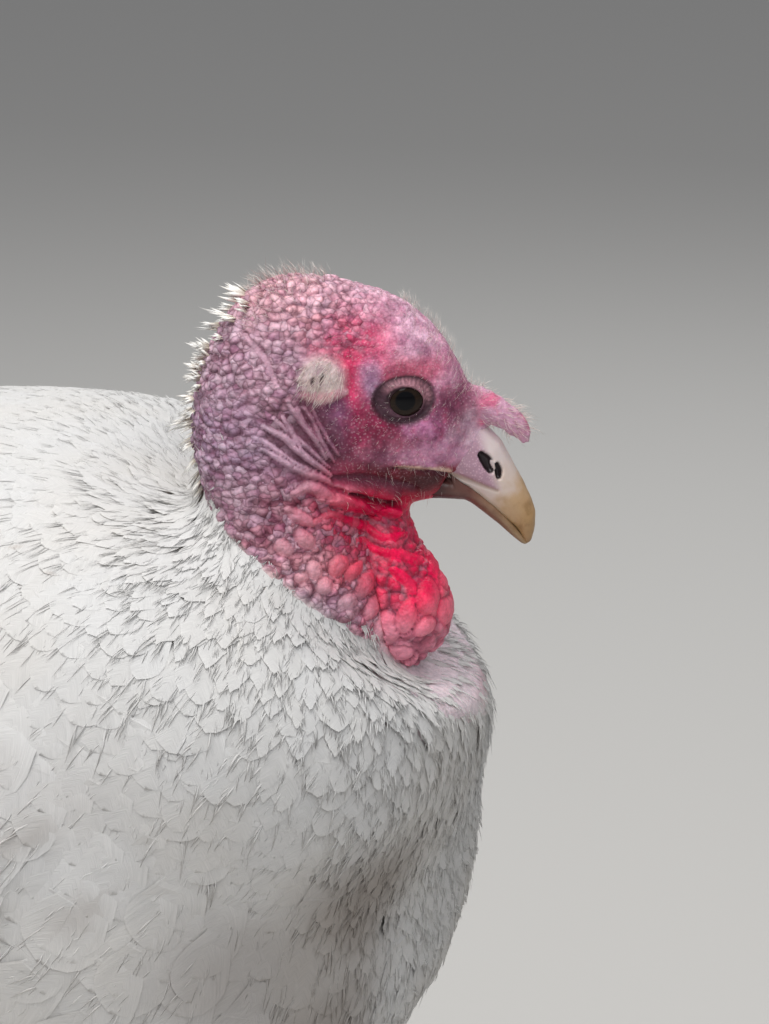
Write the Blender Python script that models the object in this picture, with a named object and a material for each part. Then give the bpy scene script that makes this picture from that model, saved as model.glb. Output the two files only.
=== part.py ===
"""A life-size white domestic turkey, a young tom that stands with its neck drawn in and its head turned left.

Metres, +Z up. The body points along +X, and the origin is the middle of the bounding box at floor level.
The head, neck, trunk and tail are lofted through named sections. A section lies in the plane of its
chord, which runs from a point on the back to a point on the breast or belly.
"""

import math

import bmesh
import bpy
from mathutils import Matrix, Vector
from mathutils.bvhtree import BVHTree

MM = 0.001
GAP = 0.3 * MM
LEFTWARD = Vector((0, 1, 0))

# Where the bird stands: the neck's upright axis, the height of the eyes, and the turn of the head.
NECK_X = 190 * MM
EYE_HEIGHT = 572 * MM
HEAD_TURN = 35.0

# Legs: the foot's centre under the body's weight, half the stance, and the heights of the joints.
FOOT_X = -42 * MM
STANCE = 88 * MM
HOCK_HEIGHT = 182 * MM
ANKLE_HEIGHT = 27 * MM
HOCK_SETBACK = 44 * MM
PAD_RADIUS = 20 * MM

EYE_RADIUS = 9.5 * MM
EYE_DEPTH = 7.5 * MM
EYE_FORWARD = 17.5
EYE_APART = 12.6

HEAD_SIDES = 28
BILL_RINGS = 9
WING_STATIONS = 17
WING_BEDDING = 3 * MM
WING_STEPS = 5
TAIL_STATIONS = 10
TAIL_STEPS = 8

WHITE = (0.80, 0.79, 0.76)
PINK = (0.62, 0.31, 0.38)
VIOLET = (0.36, 0.22, 0.29)
RED = (0.60, 0.03, 0.08)
HORN = (0.52, 0.42, 0.33)
SHANK_PINK = (0.66, 0.50, 0.45)

# name: back point (forward, up), front point (forward, up), half width, widest at, fullness, turn.
# Points are in millimetres from the neck's axis at eye height. "Widest at" is a share of the chord.
SECTIONS = {
    "bill base": ((46, -12), (27, -40.5), 9.5, 0.55, 2.1, 1.00),
    "lore": ((42.5, -1), (22, -41), 14, 0.55, 2.1, 1.00),
    "brow": ((34, 16), (16, -42), 17.5, 0.55, 2.1, 1.00),
    "eye": ((19, 31), (10, -43), 20, 0.55, 2.1, 1.00),
    "crown": ((-7, 38.5), (6, -46), 23, 0.55, 2.1, 1.00),
    "occiput": ((-31, 37), (6, -52), 26, 0.52, 2.1, 1.00),
    "nape": ((-48, 16), (9, -60), 29, 0.50, 2.1, 1.00),
    "upper neck": ((-55, -8), (12, -70), 32, 0.50, 2.1, 1.00),
    "lower neck": ((-54, -24), (14, -84), 36, 0.50, 2.1, 0.97),
    "collar": ((-51, -37), (17, -100), 43, 0.50, 2.1, 0.90),
    "ruff": ((-62, -44), (46, -113), 66, 0.50, 2.1, 0.62),
    "crop": ((-86, -38), (41, -147), 97, 0.48, 2.15, 0.30),
    "shoulder": ((-114, -29), (15, -197), 123, 0.47, 2.2, 0.0),
    "wing root": ((-150, -26), (5, -245), 141, 0.47, 2.25, 0.0),
    "breast": ((-194, -30), (-28, -291), 152, 0.47, 2.3, 0.0),
    "keel": ((-242, -39), (-94, -328), 155, 0.46, 2.3, 0.0),
    "mid back": ((-290, -53), (-180, -347), 151, 0.46, 2.3, 0.0),
    "flank": ((-338, -68), (-268, -342), 140, 0.46, 2.25, 0.0),
    "belly": ((-382, -84), (-344, -312), 120, 0.46, 2.2, 0.0),
    "vent": ((-420, -98), (-402, -260), 92, 0.45, 2.1, 0.0),
    "rump": ((-450, -111), (-442, -204), 64, 0.45, 2.0, 0.0),
}
SECTION_NAMES = list(SECTIONS)

PARTS = bpy.data.collections.new("turkey")
CUTTERS = bpy.data.collections.new("cutters")


def start():
    """Empties the scene and links the collections for the parts and for the cutters."""
    for obj in list(bpy.data.objects):
        bpy.data.objects.remove(obj)
    bpy.context.scene.collection.children.link(PARTS)
    bpy.context.scene.collection.children.link(CUTTERS)


def finish_of(name, colour, roughness):
    """A plain material with the part's own colour."""
    material = bpy.data.materials.new(name)
    material.use_nodes = True
    shader = material.node_tree.nodes["Principled BSDF"]
    shader.inputs["Base Color"].default_value = (*colour, 1)
    shader.inputs["Roughness"].default_value = roughness
    return material


def add(name, bm, colour, roughness=0.6, collection=PARTS):
    """Makes a named object from a bmesh, with outward faces and a material of its own."""
    bmesh.ops.remove_doubles(bm, verts=bm.verts, dist=0.005 * MM)
    bmesh.ops.recalc_face_normals(bm, faces=bm.faces)
    mesh = bpy.data.meshes.new(name)
    bm.to_mesh(mesh)
    bm.free()
    mesh.shade_smooth()
    mesh.materials.append(finish_of(name, colour, roughness))
    obj = bpy.data.objects.new(name, mesh)
    collection.objects.link(obj)
    return obj


def loft(rings):
    """A closed bmesh through rings of points, with both ends capped."""
    bm = bmesh.new()
    loops = [[bm.verts.new(point) for point in ring] for ring in rings]
    count = len(loops[0])
    for near, far in zip(loops, loops[1:]):
        for i in range(count):
            j = (i + 1) % count
            bm.faces.new((near[i], near[j], far[j], far[i]))
    for loop in (loops[0], loops[-1]):
        middle = bm.verts.new(sum((v.co for v in loop), Vector()) / count)
        for i in range(count):
            bm.faces.new((loop[i], loop[(i + 1) % count], middle))
    return bm


def curve_through(values, share):
    """A smooth value at share 0 to 1 along a list of equally spaced numbers, tuples or vectors."""
    place = share * (len(values) - 1)
    i = min(int(place), len(values) - 2)
    t = place - i
    before, a = values[max(i - 1, 0)], values[i]
    b, after = values[i + 1], values[min(i + 2, len(values) - 1)]

    def blend(p, q, r, s):
        return q + 0.5 * t * (r - p + t * (2 * p - 5 * q + 4 * r - s + t * (3 * (q - r) + s - p)))

    if isinstance(a, tuple):
        return tuple(blend(*four) for four in zip(before, a, b, after))
    return blend(before, a, b, after)


def bird_point(forward, side, up, turn):
    """A point given in millimetres from the neck's axis at eye height, turned about that axis."""
    angle = math.radians(HEAD_TURN * turn)
    return Vector(
        (
            NECK_X + (forward * math.cos(angle) - side * math.sin(angle)) * MM,
            (forward * math.sin(angle) + side * math.cos(angle)) * MM,
            EYE_HEIGHT + up * MM,
        )
    )


def section_ring(section, sides):
    """The ring of one section: an egg-shaped superellipse about its chord."""
    back, front, half_width, widest, fullness, turn = section
    back, front = Vector(back), Vector(front)
    centre = back.lerp(front, widest)
    ring = []
    for i in range(sides):
        angle = 2 * math.pi * i / sides
        along, across = math.cos(angle), math.sin(angle)
        along = math.copysign(abs(along) ** (2 / fullness), along)
        across = math.copysign(abs(across) ** (2 / fullness), across)
        end = back if along > 0 else front
        place = centre + (end - centre) * abs(along)
        ring.append(bird_point(place.x, half_width * across, place.y, turn))
    return ring


def flat_numbers(section):
    """A section as one tuple of numbers, so that it can be interpolated."""
    back, front, *rest = section
    return (*back, *front, *rest)


def section_at(place):
    """The section at a place along the body, counted in sections from the bill's base."""
    rows = [flat_numbers(section) for section in SECTIONS.values()]
    row = curve_through(rows, place / (len(rows) - 1))
    return row[0:2], row[2:4], *row[4:]


def body_rings(first, last, between, sides):
    """Rings from one named section to another, with a gap of half GAP at each end."""
    start_at, end_at = SECTION_NAMES.index(first), SECTION_NAMES.index(last)
    count = (end_at - start_at) * between
    rings = [section_ring(section_at(start_at + i / between), sides) for i in range(count + 1)]
    for end, inner in ((0, 1), (-1, -2)):
        middle = sum(rings[end], Vector()) / sides
        inward = (sum(rings[inner], Vector()) / sides - middle).normalized()
        plane = (rings[end][0] - middle).cross(rings[end][sides // 4] - middle).normalized()
        plane *= math.copysign(0.5 * GAP, plane.dot(inward))
        rings[end] = [point + plane for point in rings[end]]
    return rings


def tube(points, radii, across, sides, count, flatten=1.0):
    """A closed bmesh of an oval tube along a smooth path. flatten is its depth over its width across."""
    rings = []
    for i in range(count + 1):
        share = i / count
        centre, radius = curve_through(points, share), curve_through(radii, share)
        ahead = curve_through(points, min(share + 0.01, 1)) - curve_through(points, max(share - 0.01, 0))
        rise = across.cross(ahead).normalized()
        side = ahead.cross(rise).normalized()
        rings.append(
            [
                centre
                + side * (radius * math.cos(2 * math.pi * k / sides))
                + rise * (radius * flatten * math.sin(2 * math.pi * k / sides))
                for k in range(sides)
            ]
        )
    return loft(rings)


def ball(centre, radii, segments, rings, turn=0.0):
    """A closed bmesh of an ellipsoid, turned about the upright by degrees."""
    bm = bmesh.new()
    bmesh.ops.create_uvsphere(bm, u_segments=segments, v_segments=rings, radius=1)
    placed = Matrix.Translation(centre) @ Matrix.Rotation(math.radians(turn), 4, "Z")
    bmesh.ops.transform(bm, matrix=placed @ Matrix.Diagonal((*radii, 1)), verts=bm.verts)
    return bm


def swell(bm, centre, radius, push):
    """Moves the points near a centre by push millimetres along their normals, fading to the radius."""
    bm.normal_update()
    for vert in bm.verts:
        near = 1 - (vert.co - centre).length / (radius * MM)
        if near > 0:
            vert.co += vert.normal * (push * MM * near * near * (3 - 2 * near))


def settle(obj):
    """Replaces an object's mesh by the one that its modifiers make."""
    graph = bpy.context.evaluated_depsgraph_get()
    mesh = bpy.data.meshes.new_from_object(obj.evaluated_get(graph))
    obj.modifiers.clear()
    obj.data = mesh


def clear_of(obj, *others):
    """Cuts from an object the room that its neighbours and the gap round them take."""
    for other in others:
        bm = bmesh.new()
        bm.from_mesh(other.data)
        bm.normal_update()
        for vert, moved in [(v, v.co + v.normal * GAP) for v in bm.verts]:
            vert.co = moved
        cutter = add(f"room_for_{other.name}_in_{obj.name}", bm, WHITE, collection=CUTTERS)
        cutter.hide_render = True
        cutter.display_type = "WIRE"
        cut = obj.modifiers.new("room", "BOOLEAN")
        cut.operation = "DIFFERENCE"
        cut.solver = "EXACT"
        cut.object = cutter
        settle(obj)
        bpy.data.objects.remove(cutter)


def build_head():
    """The face and skull: brows, cheeks and a socket for each eye."""
    bm = loft(body_rings("bill base", "nape", 3, HEAD_SIDES))
    for side in (-1, 1):
        eye = bird_point(EYE_FORWARD, side * 18, 0, 1)
        near_eye = [e for e in bm.edges if all((v.co - eye).length < 13 * MM for v in e.verts)]
        bmesh.ops.subdivide_edges(bm, edges=near_eye, cuts=1, use_grid_fill=True)
        swell(bm, bird_point(15, side * 17, 16, 1), 18, 2.2)
        swell(bm, bird_point(40, side * 11, -8, 1), 14, -1.6)
        swell(bm, bird_point(34, side * 13, -16, 1), 11, 1.4)
        swell(bm, bird_point(4, side * 21, -20, 1), 20, 1.2)
        swell(bm, eye, 11, -1.0)
    return add("head", bm, PINK, 0.5)


def build_eyes():
    """The eyeballs, flattened front to back."""
    eyes = []
    for name, side in (("eye_right", -1), ("eye_left", 1)):
        centre = bird_point(EYE_FORWARD, side * EYE_APART, 0, 1)
        radii = (EYE_RADIUS, EYE_DEPTH, EYE_RADIUS)
        bm = ball(centre, radii, 12, 8, HEAD_TURN)
        eyes.append(add(name, bm, (0.012, 0.010, 0.010), 0.08))
    return eyes


def build_neck_and_trunk():
    """The bare upper neck, the feathered lower neck and the trunk, out to the tips of the feathers."""
    bare_neck = add("neck_upper", loft(body_rings("nape", "collar", 2, HEAD_SIDES)), VIOLET, 0.5)
    feathered_neck = add("neck_lower", loft(body_rings("collar", "shoulder", 3, HEAD_SIDES)), WHITE, 0.7)
    trunk = add("trunk", loft(body_rings("shoulder", "rump", 2, HEAD_SIDES)), WHITE, 0.7)
    return bare_neck, feathered_neck, trunk


def build_ears(head):
    """The low pad of bristly skin that covers each ear."""
    for name, side in (("ear_right", -1), ("ear_left", 1)):
        bm = ball(bird_point(-9, side * 22.5, 8, 1), (8.5 * MM, 3.2 * MM, 8.0 * MM), 12, 6, HEAD_TURN)
        ear = add(name, bm, (0.56, 0.45, 0.47), 0.8)
        clear_of(ear, head)


def build_bill(head):
    """The hooked upper bill and the shorter lower one, which closes under it."""
    upper = {
        "base": ((46.3, -12.2), (31.4, -31.8), 9.3, 0.62, 2.0, 1.0),
        "nostril": ((53, -18), (40, -33.6), 8.4, 0.64, 2.0, 1.0),
        "ridge": ((57.6, -26.6), (48.2, -39.4), 6.9, 0.62, 2.0, 1.0),
        "hook": ((62.6, -36), (55.6, -47.2), 5.2, 0.58, 2.0, 1.0),
        "nail": ((66.2, -46), (60.8, -54), 3.3, 0.52, 2.0, 1.0),
        "tip": ((64.8, -55.8), (62.6, -57.8), 0.9, 0.50, 2.0, 1.0),
    }
    lower = {
        "base": ((30.6, -32.6), (27.4, -40), 8.4, 0.30, 2.0, 1.0),
        "middle": ((39.2, -34.6), (38, -40.4), 7.4, 0.30, 2.0, 1.0),
        "front": ((47.3, -40.4), (44.8, -45), 5.8, 0.30, 2.0, 1.0),
        "edge": ((54.4, -48), (52, -50.8), 3.8, 0.30, 2.0, 1.0),
        "tip": ((58.2, -52.9), (57.4, -54), 1.2, 0.40, 2.0, 1.0),
    }
    nodes = []
    for name, rows, colour in (("upper_bill", upper, HORN), ("lower_bill", lower, (0.20, 0.10, 0.07))):
        rows = [flat_numbers(row) for row in rows.values()]
        rings = []
        for i in range(BILL_RINGS + 1):
            row = curve_through(rows, i / BILL_RINGS)
            rings.append(section_ring((row[0:2], row[2:4], *row[4:]), 12))
        nodes.append(add(name, loft(rings), colour, 0.4))
    upper_bill, lower_bill = nodes
    clear_of(upper_bill, head)
    clear_of(lower_bill, head, upper_bill)
    return upper_bill


def build_snood(head, upper_bill):
    """The finger of flesh that hangs from the forehead over the bill."""
    path = [(36, -4), (45, -5.5), (53, -9), (59.5, -14), (63, -20)]
    points = [bird_point(forward, 0, up, 1) for forward, up in path]
    across = bird_point(0, 1, 0, 1) - bird_point(0, 0, 0, 1)
    radii = [7.2 * MM, 6.4 * MM, 5.2 * MM, 4.3 * MM, 1.7 * MM]
    snood = add("snood", tube(points, radii, across, 10, 8, 0.9), PINK, 0.5)
    clear_of(snood, head, upper_bill)


def build_wattle(*neighbours):
    """The fold of red skin and bulbs that hangs from the throat in front of the neck."""
    # up: front, back, half width
    levels = {
        -42: (21, 2, 10),
        -51: (20, 0, 15),
        -62: (26, 0, 18),
        -74: (34, 2, 21),
        -85: (35, 5, 20),
        -94: (29, 8, 15),
        -101: (19, 12, 6),
    }
    rows = [(float(up), *map(float, row)) for up, row in levels.items()]
    rings = []
    for i in range(9):
        up, front, back, half_width = curve_through(rows, i / 8)
        middle, reach = (front + back) / 2, (front - back) / 2
        ring = []
        for k in range(14):
            angle = 2 * math.pi * k / 14
            forward, side = middle + reach * math.cos(angle), half_width * math.sin(angle)
            ring.append(bird_point(forward, side, up, 0.98))
        rings.append(ring)
    wattle = add("wattle", loft(rings), RED, 0.35)
    clear_of(wattle, *neighbours)


def build_wing(name, side, trunk, neck, thigh):
    """A folded wing: a shell that lies on the trunk, from the wrist to the tips of the primaries."""
    # forward: upper edge, lower edge, thickness, least distance from the bird's middle
    outline = {
        -40: (-132, -150, 3, 60),
        -66: (-104, -182, 9, 76),
        -110: (-84, -212, 14, 92),
        -165: (-74, -232, 16, 106),
        -225: (-74, -245, 17, 114),
        -285: (-84, -252, 16, 116),
        -345: (-100, -252, 14, 110),
        -405: (-122, -247, 12, 99),
        -465: (-150, -238, 9, 85),
        -520: (-178, -226, 6, 73),
        -560: (-202, -214, 3, 66),
    }
    rows = [(float(forward), *map(float, row)) for forward, row in outline.items()]
    trees = []
    for obj in (trunk, neck):
        bm = bmesh.new()
        bm.from_mesh(obj.data)
        trees.append(BVHTree.FromBMesh(bm))
        bm.free()
    rings = []
    for i in range(WING_STATIONS + 1):
        forward, top, bottom, thick, least = curve_through(rows, i / WING_STATIONS)
        outer, inner = [], []
        for k in range(WING_STEPS + 1):
            share = k / WING_STEPS
            origin = bird_point(forward, side * 400, top + (bottom - top) * share, 0)
            hits = [tree.ray_cast(origin, Vector((0, -side, 0)))[0] for tree in trees]
            body = max([abs(hit.y) for hit in hits if hit] + [0])
            blade = least * MM * (0.90 + 0.10 * math.sin(math.pi * share))
            swelling = thick * MM * (0.35 + 0.65 * math.sin(math.pi * (0.08 + 0.84 * share)) ** 0.6)
            reach = max(body, blade) + swelling
            outer.append(Vector((origin.x, side * reach, origin.z)))
            depth = max(body - WING_BEDDING, reach - 2 * thick * MM)
            inner.append(Vector((origin.x, side * depth, origin.z)))
        rings.append(outer + inner[::-1])
    wing = add(name, loft(rings), WHITE, 0.7)
    clear_of(wing, trunk, neck, thigh)


def build_tail(trunk):
    """The closed fan of the tail, roofed along its middle, with its coverts over the root."""
    # behind the rump: middle line's height, half width, half thickness, droop of the edges
    rows = [
        (-430.0, -150.0, 62.0, 42.0, 6.0),
        (-475.0, -151.0, 57.0, 31.0, 10.0),
        (-530.0, -156.0, 57.0, 18.0, 14.0),
        (-595.0, -167.0, 64.0, 9.0, 17.0),
        (-660.0, -180.0, 71.0, 5.0, 18.0),
        (-706.0, -190.0, 64.0, 3.5, 14.0),
        (-728.0, -194.0, 36.0, 2.0, 7.0),
    ]
    rings = []
    for i in range(TAIL_STATIONS + 1):
        forward, up, half_width, thick, droop = curve_through(rows, i / TAIL_STATIONS)
        upper, under = [], []
        for k in range(TAIL_STEPS + 1):
            share = 2 * k / TAIL_STEPS - 1
            rounding = math.sqrt(max(0.0, 1 - share**2)) * 0.85 + 0.15
            height = up - droop * share**2
            sweep = forward + 10 * share**2
            upper.append(bird_point(sweep, share * half_width, height + thick * rounding, 0))
            under.append(bird_point(sweep, share * half_width, height - thick * rounding, 0))
        rings.append(upper + under[::-1])
    tail = add("tail", loft(rings), WHITE, 0.7)
    clear_of(tail, trunk)


def build_thigh(name, side, trunk):
    """The feathered drumstick, from the flank to the hock."""
    hip = Vector((FOOT_X + 36 * MM, side * (STANCE - 44 * MM), 330 * MM))
    knee = Vector((FOOT_X + 30 * MM, side * (STANCE - 10 * MM), 286 * MM))
    calf = Vector((FOOT_X, side * (STANCE + 1 * MM), 236 * MM))
    hock = Vector((FOOT_X - HOCK_SETBACK + 8 * MM, side * STANCE, HOCK_HEIGHT + 12 * MM))
    radii = [50 * MM, 58 * MM, 43 * MM, 15 * MM]
    thigh = add(name, tube([hip, knee, calf, hock], radii, LEFTWARD, 14, 7, 1.14), WHITE, 0.7)
    clear_of(thigh, trunk)
    return thigh


def build_shank(name, side, thigh):
    """The bare scaly leg from just above the hock to the foot, oval and thicker at both joints."""
    hock = Vector((FOOT_X - HOCK_SETBACK, side * STANCE, HOCK_HEIGHT))
    top = hock + Vector((16 * MM, 0, 24 * MM))
    foot = Vector((FOOT_X - 1 * MM, side * STANCE, ANKLE_HEIGHT - 8 * MM))
    points = [top] + [hock.lerp(foot, i / 4) for i in range(5)]
    radii = [11 * MM, 13.5 * MM, 10.2 * MM, 9.6 * MM, 10 * MM, 13 * MM]
    shank = add(name, tube(points, radii, LEFTWARD, 12, 8, 1.12), SHANK_PINK, 0.55)
    clear_of(shank, thigh)
    return shank


def build_pad(name, side, shank):
    """The fleshy sole under the foot, flat where it stands."""
    bm = ball(Vector((FOOT_X, side * STANCE, 8 * MM)), (PAD_RADIUS, PAD_RADIUS, 13 * MM), 14, 8)
    geometry = bm.verts[:] + bm.edges[:] + bm.faces[:]
    floor = {"plane_co": (0, 0, 0), "plane_no": (0, 0, -1)}
    cut = bmesh.ops.bisect_plane(bm, geom=geometry, clear_outer=True, **floor)
    bmesh.ops.contextual_create(bm, geom=[e for e in cut["geom_cut"] if isinstance(e, bmesh.types.BMEdge)])
    pad = add(name, bm, SHANK_PINK, 0.6)
    clear_of(pad, shank)
    return pad


def build_toe(leg, toe, side, angle, length, thickness, joints, pad, shank):
    """One toe with its pads between the joints, and the claw at its end."""
    heading = Vector((math.cos(angle), math.sin(angle), 0))
    centre = Vector((FOOT_X, side * STANCE, 0))
    start_at, rise = PAD_RADIUS - 7 * MM, 0.86 * thickness
    points, radii = [], []
    steps = 2 * joints
    for i in range(steps + 1):
        share = i / steps
        lift = 5 * MM * (1 - share) ** 3
        radius = thickness * (1 - 0.30 * share) * (1.07 if i % 2 else 0.93)
        radii.append(radius * (0.75 if i in (0, steps) else 1))
        height = Vector((0, 0, rise * (1 - 0.30 * share) + lift))
        points.append(centre + heading * (start_at + length * share) + height)
    across = Vector((-heading.y, heading.x, 0))
    bm = tube(points, radii, across, 8, 2 * joints + 1)
    for vert in bm.verts:
        vert.co.z = max(vert.co.z, 0)
    node = add(f"toe_{toe}_{leg}", bm, SHANK_PINK, 0.6)
    clear_of(node, pad, shank)

    onward = (points[-1] - points[-2]).normalized()
    end = points[-1] + onward * GAP
    hook = [
        end,
        end + onward * 7 * MM,
        end + heading * 13 * MM - Vector((0, 0, 1.6 * MM)),
        end + heading * 17 * MM - Vector((0, 0, 3.8 * MM)),
    ]
    hook_radii = [0.50 * thickness, 0.44 * thickness, 0.30 * thickness, 0.6 * MM]
    claw = tube(hook, hook_radii, across, 6, 4)
    for vert in claw.verts:
        vert.co.z = max(vert.co.z, 0)
    add(f"claw_{toe}_{leg}", claw, (0.42, 0.35, 0.29), 0.35)


def build_spur(name, side, shank):
    """The young tom's short blunt spur, on the inner back of the shank."""
    root = Vector((FOOT_X - 25 * MM, side * (STANCE - 5 * MM), 88 * MM))
    tip = root + Vector((-13 * MM, -side * 7 * MM, 1.5 * MM))
    points = [root, root.lerp(tip, 0.5), tip]
    spur = add(name, tube(points, [5 * MM, 4.2 * MM, 1.6 * MM], LEFTWARD, 6, 3), (0.40, 0.34, 0.30), 0.4)
    clear_of(spur, shank)


def build_leg(leg, side, thigh):
    """The shank, foot, toes, claws and spur below one thigh."""
    shank = build_shank(f"shank_{leg}", side, thigh)
    pad = build_pad(f"foot_{leg}", side, shank)
    # toe: angle from straight ahead, length, thickness, joints
    toes = {
        "inner": (-36, 60, 6.8, 2),
        "middle": (0, 78, 7.4, 3),
        "outer": (36, 62, 6.6, 3),
        "hind": (-166, 34, 5.6, 1),
    }
    for toe, (angle, length, thickness, joints) in toes.items():
        angle = math.radians(side * angle + side * 4)
        build_toe(leg, toe, side, angle, length * MM, thickness * MM, joints, pad, shank)
    build_spur(f"spur_{leg}", side, shank)


def centre_on_floor():
    """Hangs every part from one empty, moved so that the origin is under the middle of the bird."""
    corners = [obj.matrix_world @ v.co for obj in PARTS.objects for v in obj.data.vertices]
    low = Vector(min(c[k] for c in corners) for k in range(3))
    high = Vector(max(c[k] for c in corners) for k in range(3))
    root = bpy.data.objects.new("turkey_root", None)
    parts = list(PARTS.objects)
    PARTS.objects.link(root)
    for obj in parts:
        obj.parent = root
    root.location = (-(low.x + high.x) / 2, -(low.y + high.y) / 2, -low.z)


def main():
    start()
    head = build_head()
    clear_of(head, *build_eyes())
    bare_neck, feathered_neck, trunk = build_neck_and_trunk()
    build_ears(head)
    upper_bill = build_bill(head)
    build_snood(head, upper_bill)
    build_wattle(head, bare_neck, feathered_neck)
    build_tail(trunk)
    for leg, side in (("right", -1), ("left", 1)):
        thigh = build_thigh(f"thigh_{leg}", side, trunk)
        build_wing(f"wing_{leg}", side, trunk, feathered_neck, thigh)
        build_leg(leg, side, thigh)
    centre_on_floor()


main()
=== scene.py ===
"""The looks of a life-size young white tom turkey, a still model: bare skin on the head, neck and legs,
and plumage on the rest. Metres, +Z up; the body points along +X and the head is turned left."""
import math

import bmesh
import bpy
import numpy as np
from mathutils import Matrix, Vector
from mathutils.bvhtree import BVHTree


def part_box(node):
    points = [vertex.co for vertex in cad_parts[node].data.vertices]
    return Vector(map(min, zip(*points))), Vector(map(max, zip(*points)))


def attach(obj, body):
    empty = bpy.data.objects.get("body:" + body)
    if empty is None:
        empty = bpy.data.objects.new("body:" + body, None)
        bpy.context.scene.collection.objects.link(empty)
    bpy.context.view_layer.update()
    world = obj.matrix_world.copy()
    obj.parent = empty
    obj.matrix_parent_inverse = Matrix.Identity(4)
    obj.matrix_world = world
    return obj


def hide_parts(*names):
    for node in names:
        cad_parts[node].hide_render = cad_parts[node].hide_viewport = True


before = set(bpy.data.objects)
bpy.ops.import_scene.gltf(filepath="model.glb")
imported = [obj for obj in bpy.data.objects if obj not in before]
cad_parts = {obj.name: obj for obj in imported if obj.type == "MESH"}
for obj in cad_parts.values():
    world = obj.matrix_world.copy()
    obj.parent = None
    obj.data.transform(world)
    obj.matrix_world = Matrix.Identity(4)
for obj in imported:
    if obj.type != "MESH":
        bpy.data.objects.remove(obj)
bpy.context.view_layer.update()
MM = 0.001
UP = Vector((0, 0, 1))


def linked(name, data):
    """A new object in the scene, with its data."""
    obj = bpy.data.objects.new(name, data)
    bpy.context.scene.collection.objects.link(obj)
    return obj

# ---- Camera, floor and light ------------------------------------------------------------------
# The camera stands square to the turned head and a little above it, so the frame holds the head,
# the neck and the front of the breast. The floor is a wide pale sheet; large soft lamps hang round.
eye_points = {}
for side_name in ("right", "left"):
    low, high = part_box(f"eye_{side_name}")
    eye_points[side_name] = (low + high) / 2
HEAD_LEFT = (eye_points["left"] - eye_points["right"]).normalized()
HEAD_FORWARD = HEAD_LEFT.cross(UP).normalized()
EYE_AHEAD_OF_NECK = 17.5 * MM
NECK_TOP = (eye_points["left"] + eye_points["right"]) / 2 - HEAD_FORWARD * EYE_AHEAD_OF_NECK


def head_point(forward, side, up):
    """A point given in millimetres in the head's own frame: ahead of the neck, leftward, above the eye."""
    return NECK_TOP + (HEAD_FORWARD * forward + HEAD_LEFT * side + UP * up) * MM


VIEW_AZIMUTH, VIEW_ELEVATION = math.radians(35), math.radians(15)
VIEW_DISTANCE, VIEW_HEIGHT, FILM_WIDTH = 1.3, 0.358, 36
EYE_RIGHT_OF_MIDDLE, EYE_ABOVE_MIDDLE = 7.9 * MM, 39.2 * MM
NEAR_SIDE_OF_EYE = (20, -19, 0)
level_part = math.cos(VIEW_ELEVATION)
back = Vector(
    (math.sin(VIEW_AZIMUTH) * level_part, -math.cos(VIEW_AZIMUTH) * level_part, math.sin(VIEW_ELEVATION))
)
right = Vector((math.cos(VIEW_AZIMUTH), math.sin(VIEW_AZIMUTH), 0))
above = back.cross(right)
aim = head_point(*NEAR_SIDE_OF_EYE) - right * EYE_RIGHT_OF_MIDDLE - above * EYE_ABOVE_MIDDLE
camera = linked("camera", bpy.data.cameras.new("camera"))
camera.location = aim + back * VIEW_DISTANCE
camera.rotation_euler = Matrix((right, above, back)).transposed().to_euler()
camera.data.sensor_width = FILM_WIDTH
camera.data.lens = 0.5 * FILM_WIDTH / (0.5 * VIEW_HEIGHT / VIEW_DISTANCE)
camera.data.clip_start, camera.data.clip_end = 0.01, 80
bpy.context.scene.camera = camera

FLOOR_HALF = 25.0
bm = bmesh.new()
bmesh.ops.create_grid(bm, x_segments=1, y_segments=1, size=FLOOR_HALF)
floor_mesh = bpy.data.meshes.new("floor")
bm.to_mesh(floor_mesh)
bm.free()
floor_finish = bpy.data.materials.new("pale_floor")
floor_finish.use_nodes = True
floor_shader = floor_finish.node_tree.nodes["Principled BSDF"]
floor_shader.inputs["Base Color"].default_value = (0.56, 0.545, 0.52, 1)
floor_shader.inputs["Roughness"].default_value = 0.85
floor_mesh.materials.append(floor_finish)
linked("floor", floor_mesh)

# name: where the lamp stands from the bird's breast, its width, its power in watts, its colour
LAMPS = {
    "high_lamp": ((0.0, -0.7, 2.2), 1.6, 41, (1.0, 0.985, 0.96)),
    "front_lamp": ((1.5, -1.6, 1.9), 1.8, 30, (0.97, 0.985, 1.0)),
    "side_lamp": ((-1.6, -1.9, 1.2), 2.0, 15, (1.0, 0.97, 0.94)),
    "back_lamp": ((-0.6, 2.0, 1.7), 1.8, 18, (0.96, 0.98, 1.0)),
}
breast = Vector((0.15, 0, 0.38))
for name, (place, width, power, colour) in LAMPS.items():
    lamp = bpy.data.lights.new(name, "AREA")
    lamp.shape, lamp.size, lamp.energy, lamp.color = "DISK", width, power, colour
    lamp_object = linked(name, lamp)
    lamp_object.location = breast + Vector(place)
    lamp_object.rotation_euler = (-Vector(place)).to_track_quat("-Z", "Y").to_euler()
    lamp_object.visible_camera = False
world = bpy.data.worlds.new("studio")
world.use_nodes = True
sky = world.node_tree.nodes["Background"]
sky.inputs["Color"].default_value = (0.78, 0.80, 0.84, 1)
sky.inputs["Strength"].default_value = 0.37
bpy.context.scene.world = world
bpy.context.scene.view_settings.view_transform = "Standard"

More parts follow.
